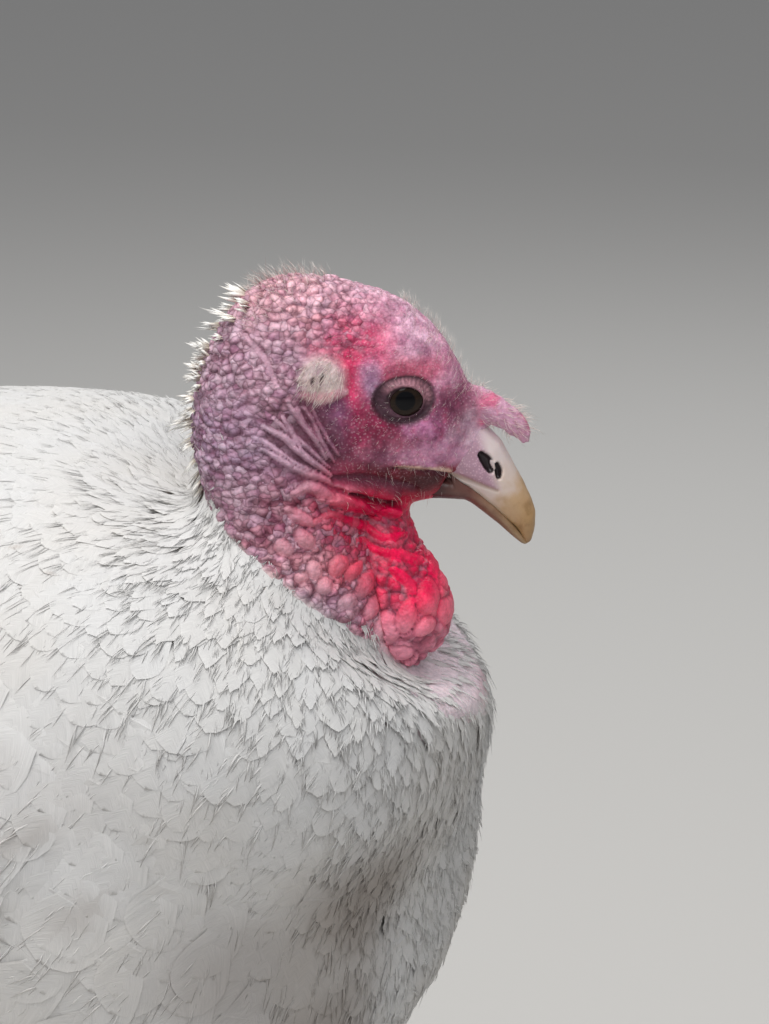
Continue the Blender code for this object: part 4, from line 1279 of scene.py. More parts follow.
def on_net(rows):
    """The nearest places on the net, their smooth normals and their places on its unwrap."""
    found = [net_tree.find_nearest(Vector(row)) for row in rows]
    spot = np.array([f[0] for f in found])
    face = np.array([f[2] for f in found])
    a, b, c = (net_points[net_faces[face, k]] for k in range(3))
    across = np.cross(b - a, c - a)
    whole = np.maximum((across**2).sum(1), 1e-20)
    share_b = (np.cross(spot - a, c - a) * across).sum(1) / whole
    share_c = (np.cross(b - a, spot - a) * across).sum(1) / whole
    shares = np.stack((1 - share_b - share_c, share_b, share_c), 1)
    normal = (net_normals[net_faces[face]] * shares[:, :, None]).sum(1)
    normal /= np.linalg.norm(normal, axis=1)[:, None]
    return spot, normal, (net_map[face] * shares[:, :, None]).sum(1)


def lie(rows):
    """Which way the feathers point at each place, before they are laid along the surface."""
    off = rows - np.array(LIE_FROM)
    far = np.linalg.norm(off, axis=1)[:, None]
    heading = off / far
    heading += np.array((-1.25, 0, 0.28)) * ramp(far, 0.13, 0.30)
    x, y, z = rows.T
    leg = ramp(z, 0.31, 0.26) * ramp(x, 0.02, 0.06) * ramp(np.abs(y), 0.025, 0.045)
    heading = heading * (1 - leg[:, None]) + np.array((-0.45, 0, -1.0)) * leg[:, None]
    return heading


def laid(heading, normal):
    """Headings laid along the surface and made one long."""
    heading = heading - normal * (heading * normal).sum(1)[:, None]
    return heading / np.maximum(np.linalg.norm(heading, axis=1), 1e-9)[:, None]


def tracks(roots, lengths, headings, steer=0.5):
    """Paths over the net from each root: places, normals and the root's place on the unwrap."""
    spot, normal, at_root = on_net(roots)
    heading = laid(headings(spot), normal)
    path, normals = [spot], [normal]
    step = (lengths / (PATH_STEPS - 1))[:, None]
    for _ in range(PATH_STEPS - 1):
        spot, normal, _ = on_net(path[-1] + heading * step)
        heading = laid(heading * (1 - steer) + laid(headings(spot), normal) * steer, normal)
        path.append(spot)
        normals.append(normal)
    return np.stack(path, 1), np.stack(normals, 1), at_root


def vane_template(across):
    """One closed vane of flat rows: points across the top, and its two edges joined beneath."""
    rows = len(VANE_STATIONS) - 1
    bm = bmesh.new()
    top = bmesh.ops.create_grid(bm, x_segments=across, y_segments=rows, size=1)["verts"]
    under = bmesh.ops.create_grid(bm, x_segments=1, y_segments=rows, size=1)["verts"]
    for vert in top + under:
        vert.co.y = (vert.co.y + 1) * 0.5 * rows
    bmesh.ops.remove_doubles(bm, verts=bm.verts, dist=1e-4)
    bmesh.ops.holes_fill(bm, edges=[e for e in bm.edges if e.is_boundary], sides=12)
    bmesh.ops.recalc_face_normals(bm, faces=bm.faces)
    for edge in bm.edges:
        if all(abs(v.co.x) > 0.99 for v in edge.verts):
            edge.smooth = False
    return object_of("vane", bm)


def barb_template():
    """One closed lock of barbs: three-sided, with a waist, drawn out to a point."""
    bm = bmesh.new()
    bmesh.ops.create_cone(bm, cap_ends=True, segments=3, radius1=1, radius2=1, depth=1)
    lid = [f for f in bm.faces if all(v.co.z > 0 for v in f.verts)]
    tip = bmesh.ops.extrude_face_region(bm, geom=lid)["geom"]
    bmesh.ops.delete(bm, geom=lid, context="FACES")
    tip_verts = [g for g in tip if isinstance(g, bmesh.types.BMVert)]
    for vert in bm.verts:
        vert.co.z += 0.5
    for vert in tip_verts:
        vert.co.z = 2
    bmesh.ops.pointmerge(bm, verts=tip_verts, merge_co=(0, 0, 2))
    bmesh.ops.recalc_face_normals(bm, faces=bm.faces)
    return object_of("barb", bm)


class Shape:
    """A template with its points' places, ready to be copied many times into one mesh."""

    def __init__(self, obj):
        self.obj = obj
        bpy.context.scene.collection.objects.unlink(obj)
        self.places = places(obj.data)
        self.faces = sum(len(p.vertices) - 2 for p in obj.data.polygons)


WIDTH_SHAPES = {"broad": (0.75, 0.62, 2.0), "pointed": (0.7, 0.45, 1.35), "quill": (0.42, 0.8, 2.6)}


def width_along(t, kind):
    """A vane's half width along it as a share of its widest."""
    swell, widest, blunt = WIDTH_SHAPES[kind]
    rise = np.clip(t / widest, 0, 1) ** swell
    fall = np.clip((t - widest) / (1 - widest), 0, 1)
    return np.maximum(rise * (1 - fall**blunt) ** (1 / blunt), 0.035)


light_vane, full_vane, barb_lock = Shape(vane_template(2)), Shape(vane_template(4)), Shape(barb_template())


# Painted shade and soil on the plumage: two thin lines of painted shade in creases where the feathers part,
# two faint cream tints, and broad painted shade with some soil over the lower breast and the crop. Each:
# place ahead and above, reach, tilt, strength.
SHADE_AND_SOIL = (
    ((-112, -141), (14, 4), 30, 0.26), ((-95, -168), (14, 4), 28, 0.2), ((-125, -120), (14, 10), 60, 0.14),
    ((-104, -130), (24, 14), 0, 0.09), ((14, -190), (34, 28), -20, 0.55),
    ((-30, -204), (38, 26), -15, 0.36), ((6, -250), (62, 44), 0, 0.5),
)


def shaded_and_soiled(rows):
    """How much painted shade and soil darken the plumage at each place, 0 to 1."""
    forward, out, up = in_head(rows).T
    shade_and_grime = np.zeros(len(rows))
    for middle, reach, tilt, strength in SHADE_AND_SOIL:
        shade_and_grime = np.maximum(shade_and_grime, strength * oval(forward, up, middle, reach, tilt, 0.6))
    return shade_and_grime * ramp(rows[:, 1], 0.02, -0.02)


def write_map(mesh, name, flat):
    """Stores a flat place for each point of a mesh as one of its maps."""
    corner = np.empty(len(mesh.loops), np.int32)
    mesh.loops.foreach_get("vertex_index", corner)
    layer = mesh.uv_layers.get(name) or mesh.uv_layers.new(name=name)
    layer.data.foreach_set("uv", flat[corner].astype(np.float32).ravel())


def coat_pieces(name, shape, made):
    """Joined pieces of a shape's copies, split below the face limit, with their maps and tones."""
    count = len(made["points"])
    pieces = math.ceil(count * shape.faces / COAT_PIECE_FACES)
    for k in range(pieces):
        part = slice(k * count // pieces, (k + 1) * count // pieces)
        points = made["points"][part].reshape(-1, 3)
        mesh = joined_copies(shape.obj, len(points) // len(shape.places))
        put(mesh, points)
        for layer in ("OFBake", "vane"):
            write_map(mesh, layer, made[layer][part].reshape(-1, 2))
        mesh.shade_smooth()
        obj = linked(f"{name}_{k + 1}", mesh)
        write(obj, "tone", np.repeat(made["tone"][part], len(shape.places)))
        write(obj, "margin", made["margin"][part].ravel())
        # the painted shade and soil of the plumage, stored for its finish
        write(obj, "shade_and_soil", shaded_and_soiled(points))
        obj.data.materials.append(plumage)
        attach(obj, "root")


def each(value, count):
    """One value for each of the feathers or hairs, from one for all or one each."""
    return np.broadcast_to(np.asarray(value, float), (count,))


def grow(name, roots, length, half_width, kind, headings, shape=light_vane, ragged=0.0, lift=0.0,
         drop=SHAFT_DROP, level=None, steer=0.5, yaw=0.0, bend_radius=0.12, barbs=0, barb_size=None):
    """Lays vanes from their roots over the net, then locks of barbs over their margins."""
    count, rows = len(roots), len(VANE_STATIONS)
    length, half_width, ragged = each(length, count), each(half_width, count), each(ragged, count)
    lift, yaw, radius = each(lift, count), each(yaw, count), each(bend_radius, count)[:, None]
    path, normals, at_root = tracks(roots, length, headings, steer)
    place = VANE_STATIONS * (PATH_STEPS - 1)
    near = np.minimum(place.astype(int), PATH_STEPS - 2)
    part = (place - near)[None, :, None]
    centre = path[:, near] * (1 - part) + path[:, near + 1] * part
    centre[:, 1:-1] = 0.5 * centre[:, 1:-1] + 0.25 * (centre[:, :-2] + centre[:, 2:])
    normal = unit(normals[:, near] * (1 - part) + normals[:, near + 1] * part)
    t = VANE_STATIONS[None, :]
    depth = np.minimum(coat_depth(path[:, 0]), 15 * MM)[:, None]
    shallow = np.minimum(each(drop, count)[:, None], depth)
    sink = shallow * (1 - t) + (depth - shallow) * np.clip(1 - t / 0.35, 0, 1) ** 1.4
    if level is not None:
        level = np.minimum(np.asarray(level, float).reshape(count, -1), depth + 4 * MM)
        sink = level + 4 * MM * np.clip(1 - t / 0.25, 0, 1) ** 1.3
    centre = centre - normal * (sink - lift[:, None] * t**2)[:, :, None]
    ahead = unit(np.gradient(centre, axis=1))
    side = unit(np.cross(ahead, normal))
    centre = centre + side * (yaw[:, None] * length[:, None] * t**1.5)[:, :, None]
    width = half_width[:, None] * width_along(t, kind)
    teeth = ragged[:, None, None] * rng.uniform(0, 0.20, (count, rows, 2)) * ramp(t, 0.25, 0.6)[:, :, None]
    curl = 0.05 * rng.uniform(0, 1, (count, 1))

    u, row = shape.places[None, :, 0], np.round(shape.places[:, 1]).astype(int)
    along = VANE_STATIONS[row]
    on_edge = np.abs(u) > 0.9
    cut = teeth[:, row, (shape.places[:, 0] > 0).astype(int)]
    off = u * width[:, row] * np.where(on_edge, 1 - cut, 1.0)
    lag = 0.33 * width[:, row] * np.abs(u) ** 1.5 * np.clip(1.15 - along, 0.1, 1) * (along < 0.98)
    wobble = rng.uniform(-1, 1, (count, len(row))) * on_edge * (along > 0.3)
    lag = lag + 0.12 * ragged[:, None] * half_width[:, None] * wobble
    droop = off**2 / (2 * radius) + curl * np.abs(off)
    thick = np.clip(0.02 * half_width, 0.1 * MM, 0.3 * MM)[:, None]
    rise = thick * (1 - u**2) * (1.2 - along) - droop
    points = (
        centre[:, row] + side[:, row] * off[:, :, None] + ahead[:, row] * lag[:, :, None]
        + normal[:, row] * rise[:, :, None]
    )
    tone = rng.uniform(0, 1, count)
    shift = rng.uniform(0, 3, (count, 1))
    made = {
        "points": points,
        "vane": np.stack((off, along * length[:, None] + lag + shift), 2),
        "OFBake": at_root[:, None, :] + np.stack((0.0014 * u + 0 * off, 0.0028 * (along - 0.5) + 0 * off), 2),
        "tone": tone,
        "margin": np.abs(u) * (kind == "quill") + 0 * off,
    }
    coat_pieces(name, shape, made)
    if not barbs:
        return

    # Locks of barbs leave the shaft on both sides and reach past the vane's edge.
    owner = np.repeat(np.arange(count), barbs)
    total = len(owner)
    start_t = rng.uniform(0.30, 0.93, total)
    hand = np.where(np.arange(total) % 2 == 0, 1.0, -1.0)
    slant = rng.normal(0.40, 0.13, total)
    size = barb_size[owner] * rng.uniform(0.7, 1.3, total)
    start_u = rng.uniform(0.05, 0.55, total)
    to_edge = np.interp(start_t, VANE_STATIONS, width_along(VANE_STATIONS, kind)) * half_width[owner]
    sideways = hand * start_u * to_edge
    height = (0.02 + 0.3 * ragged[owner]) * rng.uniform(0.3, 1, total) * MM
    height = height + 0.5 * lift[owner] * ragged[owner] * rng.uniform(0, 1, total)

    def on_vane(t_at, off_at, above):
        index = np.clip(np.searchsorted(VANE_STATIONS, t_at) - 1, 0, rows - 2)
        share = ((t_at - VANE_STATIONS[index]) / (VANE_STATIONS[index + 1] - VANE_STATIONS[index]))[:, None]
        middle = centre[owner, index] * (1 - share) + centre[owner, index + 1] * share
        out = unit(normal[owner, index] * (1 - share) + normal[owner, index + 1] * share)
        across = unit(side[owner, index] * (1 - share) + side[owner, index + 1] * share)
        low = off_at**2 / (2 * radius[owner, 0]) + curl[owner, 0] * np.abs(off_at)
        return middle + across * off_at[:, None] + out * (above - low)[:, None], out

    spine, outward = [], []
    for reach, bend, above in ((0.0, 1.0, -0.25 * MM), (0.5, 0.85, 1.0), (1.0, 0.62, 1.0)):
        t_at = start_t + reach * size * np.cos(slant * bend) / length[owner]
        off_at = sideways + hand * reach * size * np.sin(slant * bend)
        raised = above if above < 0 else height * (0.6 if reach < 1 else 1.0) - 0.3 * MM * (reach == 1)
        spot, out = on_vane(t_at, off_at, raised)
        spine.append(spot)
        outward.append(out)
    spine, outward = np.stack(spine, 1), np.stack(outward, 1)
    level_of = np.round(barb_lock.places[:, 2]).astype(int)
    way = unit(np.gradient(spine, axis=1))
    across = unit(np.cross(outward, way))
    girth = ((0.028 + 0.035 * ragged[owner]) * size * rng.uniform(0.6, 1.2, total))[:, None, None]
    flat = np.array((0.55, 1.0, 0.0))[level_of][None, :, None]
    turned = rng.uniform(-0.5, 0.5, total)[:, None, None]
    a, b = barb_lock.places[None, :, 0, None], 0.3 * barb_lock.places[None, :, 1, None]
    points = spine[:, level_of] + girth * flat * (
        across[:, level_of] * (a * np.cos(turned) - b * np.sin(turned))
        + outward[:, level_of] * (a * np.sin(turned) + b * np.cos(turned))
    )
    reach = np.array((0, 0.5, 1.0))[level_of][None, :]
    patch = np.stack((0.0006 * barb_lock.places[None, :, 0] + 0 * reach + np.zeros((total, 1)),
                      0.0026 * (reach - 0.5) + np.zeros((total, 1))), 2)
    made = {
        "points": points,
        "vane": np.stack((0 * reach + girth[:, :, 0] * barb_lock.places[None, :, 0],
                          reach * size[:, None] + shift[owner]), 2),
        "OFBake": at_root[owner][:, None, :] + patch,
        "tone": tone[owner],
        "margin": np.zeros((total, len(barb_lock.places))),
    }
    coat_pieces(name.replace("feathers", "barbs"), barb_lock, made)


plumage, node, join = finish("plumage_white", 0.78, {"Specular IOR Level": 0.25})
at = node("ShaderNodeTexCoord").outputs["Object"]
lengthwise = node("ShaderNodeSeparateXYZ", {"Vector": node("ShaderNodeUVMap", uv_map="vane").outputs["UV"]})
off_shaft = arithmetic(node, "ABSOLUTE", lengthwise.outputs["X"])
steeper = arithmetic(node, "MULTIPLY_ADD", off_shaft, 60.0, 0.85)
slant = arithmetic(node, "MULTIPLY", off_shaft, steeper)
barb = arithmetic(node, "SUBTRACT", lengthwise.outputs["Y"], slant)
barb_fine = arithmetic(node, "MULTIPLY", barb, 1500.0)
along_barb = arithmetic(node, "MULTIPLY", lengthwise.outputs["X"], 130.0)
barbs_at = node("ShaderNodeCombineXYZ", {"X": barb_fine, "Y": along_barb, "Z": 0.0}).outputs[0]
barbs = noise(node, barbs_at, 1.0, 3.0, 0.6)
clumps_at = node("ShaderNodeVectorMath", {0: barbs_at, 1: (0.30, 0.55, 1.0)}, operation="MULTIPLY").outputs[0]
clumps = noise(node, clumps_at, 1.0, 2.0)
wide_tint = noise(node, at, 14.0, 3.0)
by_feather = stored(node, "tone")
creamy = span(node, wide_tint, 0.42, 0.72)
colour = mixed(node, creamy, (0.905, 0.90, 0.895), (0.90, 0.88, 0.855))
colour = mixed(node, span(node, by_feather, 0.0, 1.0, 0.0, 0.16), colour, (0.84, 0.81, 0.76))
# painted shade with some soil: the plumage darkens towards brown in two creases and over the lower breast and
# the crop
shade_and_grime = stored(node, "shade_and_soil")
colour = mixed(node, shade_and_grime, colour, (0.30, 0.225, 0.175))
# Stains: middle, turn about the side axis, reach along and across, strength.
STAINS = (
    ((0.2505, -0.14, 0.5005), 25, 6.5, 2.2, 0.9), ((0.2545, -0.14, 0.4990), 55, 3.5, 1.4, 0.8),
    ((0.2550, -0.14, 0.5205), -8, 5.0, 1.2, 0.5), ((0.2740, -0.14, 0.5150), 8, 4.5, 0.9, 0.35),
    ((0.2245, -0.14, 0.4320), -35, 11.0, 1.6, 0.55), ((0.2430, -0.14, 0.4060), -30, 10.0, 1.4, 0.45),
)
for middle, turn, reach_long, reach_wide, strength in STAINS:
    mapped = node("ShaderNodeMapping", {
        "Vector": at, "Location": middle, "Rotation": (0, math.radians(turn), 0),
        "Scale": (reach_long * MM, 70 * MM, reach_wide * MM),
    }, vector_type="TEXTURE")
    off_middle = node("ShaderNodeVectorMath", {0: mapped.outputs[0]}, operation="LENGTH").outputs["Value"]
    streaked = arithmetic(node, "ADD", off_middle, barbs)
    stained = span(node, streaked, 0.7, 1.5, strength, 0.0)
    colour = mixed(node, stained, colour, (0.30, 0.15, 0.055))
light = span(node, barbs, 0.25, 0.75, 0.89, 1.03)
light = arithmetic(node, "MULTIPLY", light, span(node, clumps, 0.30, 0.70, 0.96, 1.015))
# painted shade along the edges of the flight and tail quills, where they overlap
quill_edge_shade = span(node, stored(node, "margin"), 0.62, 1.0, 1.0, 0.72)
light = arithmetic(node, "MULTIPLY", light, quill_edge_shade)
colour = mixed(node, 1.0, colour, grey(node, light), "MULTIPLY")
join(colour, "Base Color")
ribbed = arithmetic(node, "MULTIPLY", clumps, 0.7)
both = arithmetic(node, "ADD", barbs, ribbed)
bumped = bump(node, both, 0.6, 0.3 * MM)
join(bumped, "Normal")
shining_through = node("ShaderNodeBsdfTranslucent", {"Color": colour, "Normal": bumped})
tree = plumage.node_tree
opaque = tree.nodes["Principled BSDF"].outputs[0]
both_ways = node("ShaderNodeMixShader", {0: 0.42, 1: opaque, 2: shining_through.outputs[0]})
tree.links.new(both_ways.outputs[0], tree.nodes["Material Output"].inputs["Surface"])


SCATTER_BOX = 12 * MM


def scattered(spacing_of, inside, tries):
    """Places on the net, evenly apart by a spacing that depends on the place."""
    a, b, c = (net_points[net_faces[:, k]] for k in range(3))
    area = np.linalg.norm(np.cross(b - a, c - a), axis=1)
    keep = inside((a + b + c) / 3)
    area = np.where(keep, area, 0)
    pick = rng.choice(len(area), tries, p=area / area.sum())
    s, r = np.sqrt(rng.uniform(0, 1, tries)), rng.uniform(0, 1, tries)
    spots = a[pick] * (1 - s)[:, None] + b[pick] * (s * (1 - r))[:, None] + c[pick] * (s * r)[:, None]
    gaps = spacing_of(spots)
    boxes, chosen = {}, []
    around = [(x, y, z) for x in (-1, 0, 1) for y in (-1, 0, 1) for z in (-1, 0, 1)]
    for index, (spot, gap) in enumerate(zip(spots.tolist(), gaps.tolist())):
        x, y, z = (int(math.floor(part / SCATTER_BOX)) for part in spot)
        others = (near for i, j, k in around for near in boxes.get((x + i, y + j, z + k), ()))
        if all(math.dist(spot, other) >= gap for other in others):
            boxes.setdefault((x, y, z), []).append(spot)
            chosen.append(index)
    return spots[chosen]


WING_BACK = np.array((40, 66, 110, 165, 225, 285, 345, 405, 465, 520, 560)) * MM
WING_UPPER = np.array((-132, -104, -84, -74, -74, -84, -100, -122, -150, -178, -202)) * MM
WING_LOWER = np.array((-150, -182, -212, -232, -245, -252, -252, -247, -238, -226, -214)) * MM
COVERT_SHARE = 0.5


def on_wing(rows):
    """How far back along a folded wing a place is, 0 to 1, or -1 where it is not on a wing."""
    behind, up = NECK_TOP.x - rows[:, 0], rows[:, 2] - NECK_TOP.z
    upper, lower = np.interp(behind, WING_BACK, WING_UPPER), np.interp(behind, WING_BACK, WING_LOWER)
    up = up + 9 * MM * drift(rows / MM, 13.0, 83)
    inside = (up < upper - 9 * MM) & (up > lower + 6 * MM) & (np.abs(rows[:, 1]) > 0.055)
    share = (behind - WING_BACK[0]) / (WING_BACK[-1] - WING_BACK[0]) + 0.03 * drift(rows / MM, 26.0, 84)
    return np.where(inside & (share > 0), share, -1)


def past_edge(rows):
    """Millimetres below the collar's own ragged edge."""
    return below_collar(rows) + 5.5 * drift(rows / MM, 8.0, 81) + 2.5 * drift(rows / MM, 3.5, 82)


def edge_roots(rows):
    """Where single small feathers stand between the warts."""
    past = past_edge(rows)
    return (past > -17) & (past < -4) & (on_wattle(rows) < 0.02)


def contour_roots(rows):
    """Where the body's own feathers grow: below the collar, off the flight feathers, above the hocks."""
    back_tail = rows[:, 0] < TAIL_FLESH_BACK_TO - 68 * MM
    under_back = rows[:, 2] - NECK_TOP.z < np.interp(NECK_TOP.x - rows[:, 0], WING_BACK, WING_UPPER) + 5 * MM
    wing_tip = (rows[:, 0] < -0.15) & (np.abs(rows[:, 1]) > np.where(under_back, 0.035, 0.07))
    ahead = in_head(rows)[:, 0]
    on_bird = (past_edge(rows) > -9 - 14 * ramp(ahead, 8, 20)) & (rows[:, 2] > THIGH_FOOT + 6 * MM)
    on_bird &= on_wattle(rows) < 0.02 + 0.3 * ramp(ahead, 12, 16)
    return on_bird & (on_wing(rows) < COVERT_SHARE) & ~back_tail & ~wing_tip


def in_front(rows):
    """1 on the crop and the front of the neck, 0 on the flanks and the back."""
    return ramp(in_head(rows)[:, 0], -18, 12)


# Millimetres below the collar, then the spacing, length and half width of the feathers there, in
# millimetres: first on the flanks and the back, then down the front of the neck and the crop.
SIDE_SIZES = np.array((
    (-9, 3.0, 14, 3.6), (10, 3.7, 20, 5.2), (40, 5.6, 31, 8.5), (80, 8.6, 43, 13), (120, 10, 47, 15.5),
))
FRONT_SIZES = np.array((
    (-9, 3.2, 13, 3.8), (20, 3.9, 19, 5.6), (80, 4.8, 25, 7.0), (150, 6.6, 31, 8.5), (220, 9.5, 44, 13),
))
LEG_SIZES = (4.4, 20, 5.5)
UNDER_SPACING, COLLAR_SPACING = 11.5 * MM, 3.4 * MM


def sizes(rows, column):
    """A size of the feathers at each place: 1 spacing, 2 length, 3 half width."""
    below, front = below_collar(rows), in_front(rows)
    side_size = np.interp(below, SIDE_SIZES[:, 0], SIDE_SIZES[:, column])
    front_size = np.interp(below, FRONT_SIZES[:, 0], FRONT_SIZES[:, column])
    size = side_size * (1 - front) + front_size * front
    leg = ramp(rows[:, 2], 0.28, 0.20)
    return (size * (1 - leg) + LEG_SIZES[column - 1] * leg) * MM


def under_roots(rows):
    """Where the down beneath grows: wherever the plumage is thick."""
    thick = (below_collar(rows) > 3) & (rows[:, 2] > THIGH_FOOT + 12 * MM) & (coat_depth(rows) > 6 * MM)
    return thick & (rows[:, 0] > -0.17) & (on_wing(rows) < 0.3)


roots = scattered(lambda spots: np.full(len(spots), UNDER_SPACING), under_roots, 12000)
grow("under_feathers", roots, 46 * MM, 15 * MM, "broad", lie, ragged=0.2, level=np.full(len(roots), 3.3 * MM))

roots = scattered(lambda spots: sizes(spots, 1), contour_roots, 70000)
count = len(roots)
below, front = below_collar(roots), in_front(roots)
leg, behind = ramp(roots[:, 2], 0.28, 0.20), ramp(roots[:, 0], 0.0, -0.16)
neck_side = ramp(in_head(roots)[:, 0], -100, -50)
fringe, crop = ramp(below, 26 + 44 * neck_side, 2), front * ramp(below, 280, 120)
rough = np.clip(0.1 + 0.8 * np.maximum(fringe, crop) + 0.25 * leg, 0, 1)
length = (sizes(roots, 2) + 18 * MM * behind) * rng.uniform(0.86, 1.16, count)
half_width = (sizes(roots, 3) + 1.5 * MM * behind) * rng.uniform(0.85, 1.15, count)
lift = (0.1 + 0.8 * fringe + 0.9 * crop) * rng.uniform(-0.1, 1.0, count) * MM
yaw = rng.normal(0, 1, count) * (0.04 + 0.12 * rough)
curve = np.clip(0.045 + 0.0013 * below, 0.04, 0.17)
drop = (0.5 + 1.1 * rough) * MM
pointed = rough + rng.uniform(-0.3, 0.3, count) > 0.62
for kind, chosen, name in (("broad", ~pointed, "body_feathers"), ("pointed", pointed, "neck_feathers")):
    grow(name, roots[chosen], length[chosen], half_width[chosen], kind, lie, ragged=rough[chosen],
         lift=lift[chosen], drop=drop[chosen], yaw=yaw[chosen], bend_radius=curve[chosen],
         barbs=12, barb_size=np.clip(1.05 * half_width[chosen], 5.5 * MM, 13 * MM))

roots = scattered(lambda spots: np.full(len(spots), COLLAR_SPACING), edge_roots, 5000)
count = len(roots)
length, half_width = rng.uniform(6, 10, count) * MM, rng.uniform(1.1, 1.9, count) * MM
lift, yaw = rng.uniform(0.2, 1.1, count) * MM, rng.normal(0, 0.25, count)
grow("collar_feathers", roots, length, half_width, "pointed", lie, ragged=0.9, lift=lift, drop=0.3 * MM,
     yaw=yaw, bend_radius=0.04, barbs=10, barb_size=np.full(count, 3.4 * MM))


def bird_place(forward, side, up):
    """Positions from millimetres ahead of the neck's axis, leftward and above the eye, along the body."""
    off = np.stack(np.broadcast_arrays(forward, side, up), -1) * MM
    return off + np.array(NECK_TOP)


def toward_tips(tips):
    """Headings from each place towards its own feather's tip."""
    return lambda spots: tips - spots


# Flight feathers of a wing: how many, then root and tip of the first and the last one (ahead, to the
# side, above), half width, and how deep the first and the last one lie under the bird's outline.
FLIGHT = {
    "secondaries":
        (15, (-200, 130, -90), (-395, 112, -133), (-118, 118, -219), (-452, 100, -240), 15, 0.2, 4.4),
    "primaries":
        (7, (-262, 126, -226), (-470, 95, -226), (-258, 124, -246), (-561, 78, -208), 12, 2.6, 4.8),
    "inner quills":
        (8, (-300, 80, -112), (-470, 66, -166), (-290, 74, -232), (-512, 58, -200), 18, 0.8, 5.0),
}
roots, tips, half_width, level = [], [], [], []
for hand in (1, -1):
    for number, root_a, tip_a, root_b, tip_b, half, level_a, level_b in FLIGHT.values():
        share = np.linspace(0, 1, number)[:, None]
        mirror = np.array((1, hand, 1))
        roots.append((np.array(root_a) * (1 - share) + np.array(root_b) * share) * mirror)
        tips.append((np.array(tip_a) * (1 - share) + np.array(tip_b) * share) * mirror)
        half_width.append(np.full(number, half * MM) * rng.uniform(0.94, 1.06, number))
        level.append((level_a + (level_b - level_a) * share[:, 0]) * MM)
roots = bird_place(*np.concatenate(roots).T)
tips = bird_place(*np.concatenate(tips).T)
length = np.linalg.norm(tips - roots, axis=1)
grow("wing_quills", roots, length, np.concatenate(half_width), "quill", toward_tips(tips), shape=full_vane,
     ragged=0.12, level=np.concatenate(level), steer=0.9, bend_radius=0.16)

# Tail feathers: the middle pair on top, each pair outwards a layer lower, the outermost beneath.
TAIL_ROOT, TAIL_TIP, TAIL_PAIRS, TAIL_SPREAD, TAIL_HALF_WIDTH = -455, -727, 9, 43, 20
TAIL_THICK = ((455, 530, 595, 660, 706, 728), (50, 32, 17, 9, 6.5, 3.5))
pair = np.repeat(np.arange(TAIL_PAIRS) + 0.5, 2)
hand = np.tile((1, -1), TAIL_PAIRS)
roots = bird_place(TAIL_ROOT, 3 * pair * hand, -108 + 0 * pair)
tips = bird_place(TAIL_TIP + 0.5 * pair, TAIL_SPREAD * hand * pair / TAIL_PAIRS, -176 + 0 * pair)
thick = np.interp(-TAIL_ROOT + (TAIL_ROOT - TAIL_TIP) * VANE_STATIONS, *TAIL_THICK)
level = (0.3 + (pair[:, None] / TAIL_PAIRS) * (thick[None, :] - 1.0)) * MM
grow("tail_quills", roots, (TAIL_ROOT - TAIL_TIP + 3) * MM, TAIL_HALF_WIDTH * MM, "quill",
     toward_tips(tips), shape=full_vane, ragged=0.10, level=level, steer=0.9, bend_radius=0.3)
for shape in (light_vane, full_vane):
    bpy.data.objects.remove(shape.obj)

# ---- Hairs, bristles and nape tufts -----------------------------------------------------------
# Hair-like feathers stand in the bare skin: fine ones on the crown and brow, bristles on the snood
# and over the ear, a pale down on the cheek and jaw, and fans of white barbs up the back of the neck.
skin_points, skin_normals = places(skin.data), ways_out(skin.data)
skin_forward, skin_side, skin_up = in_head(skin_points).T


def head_way(forward, side, up):
    """Directions given in the head's own frame, in the frame of the whole bird."""
    parts = np.stack(np.broadcast_arrays(forward, side, up), -1)
    return parts @ np.array((HEAD_FORWARD, HEAD_LEFT, UP))


def hair_finish(name, pale, dull, root):
    """A hair's finish, with its own colour at the root."""
    material, node, join = finish(name, 0.55)
    at = node("ShaderNodeTexCoord").outputs["Object"]
    patchy = noise(node, at, 220.0, 2.0)
    colour = mixed(node, span(node, patchy, 0.35, 0.65), pale, dull)
    reach = stored(node, "reach")
    join(mixed(node, span(node, reach, 0.0, 0.55), root, colour), "Base Color")
    return material


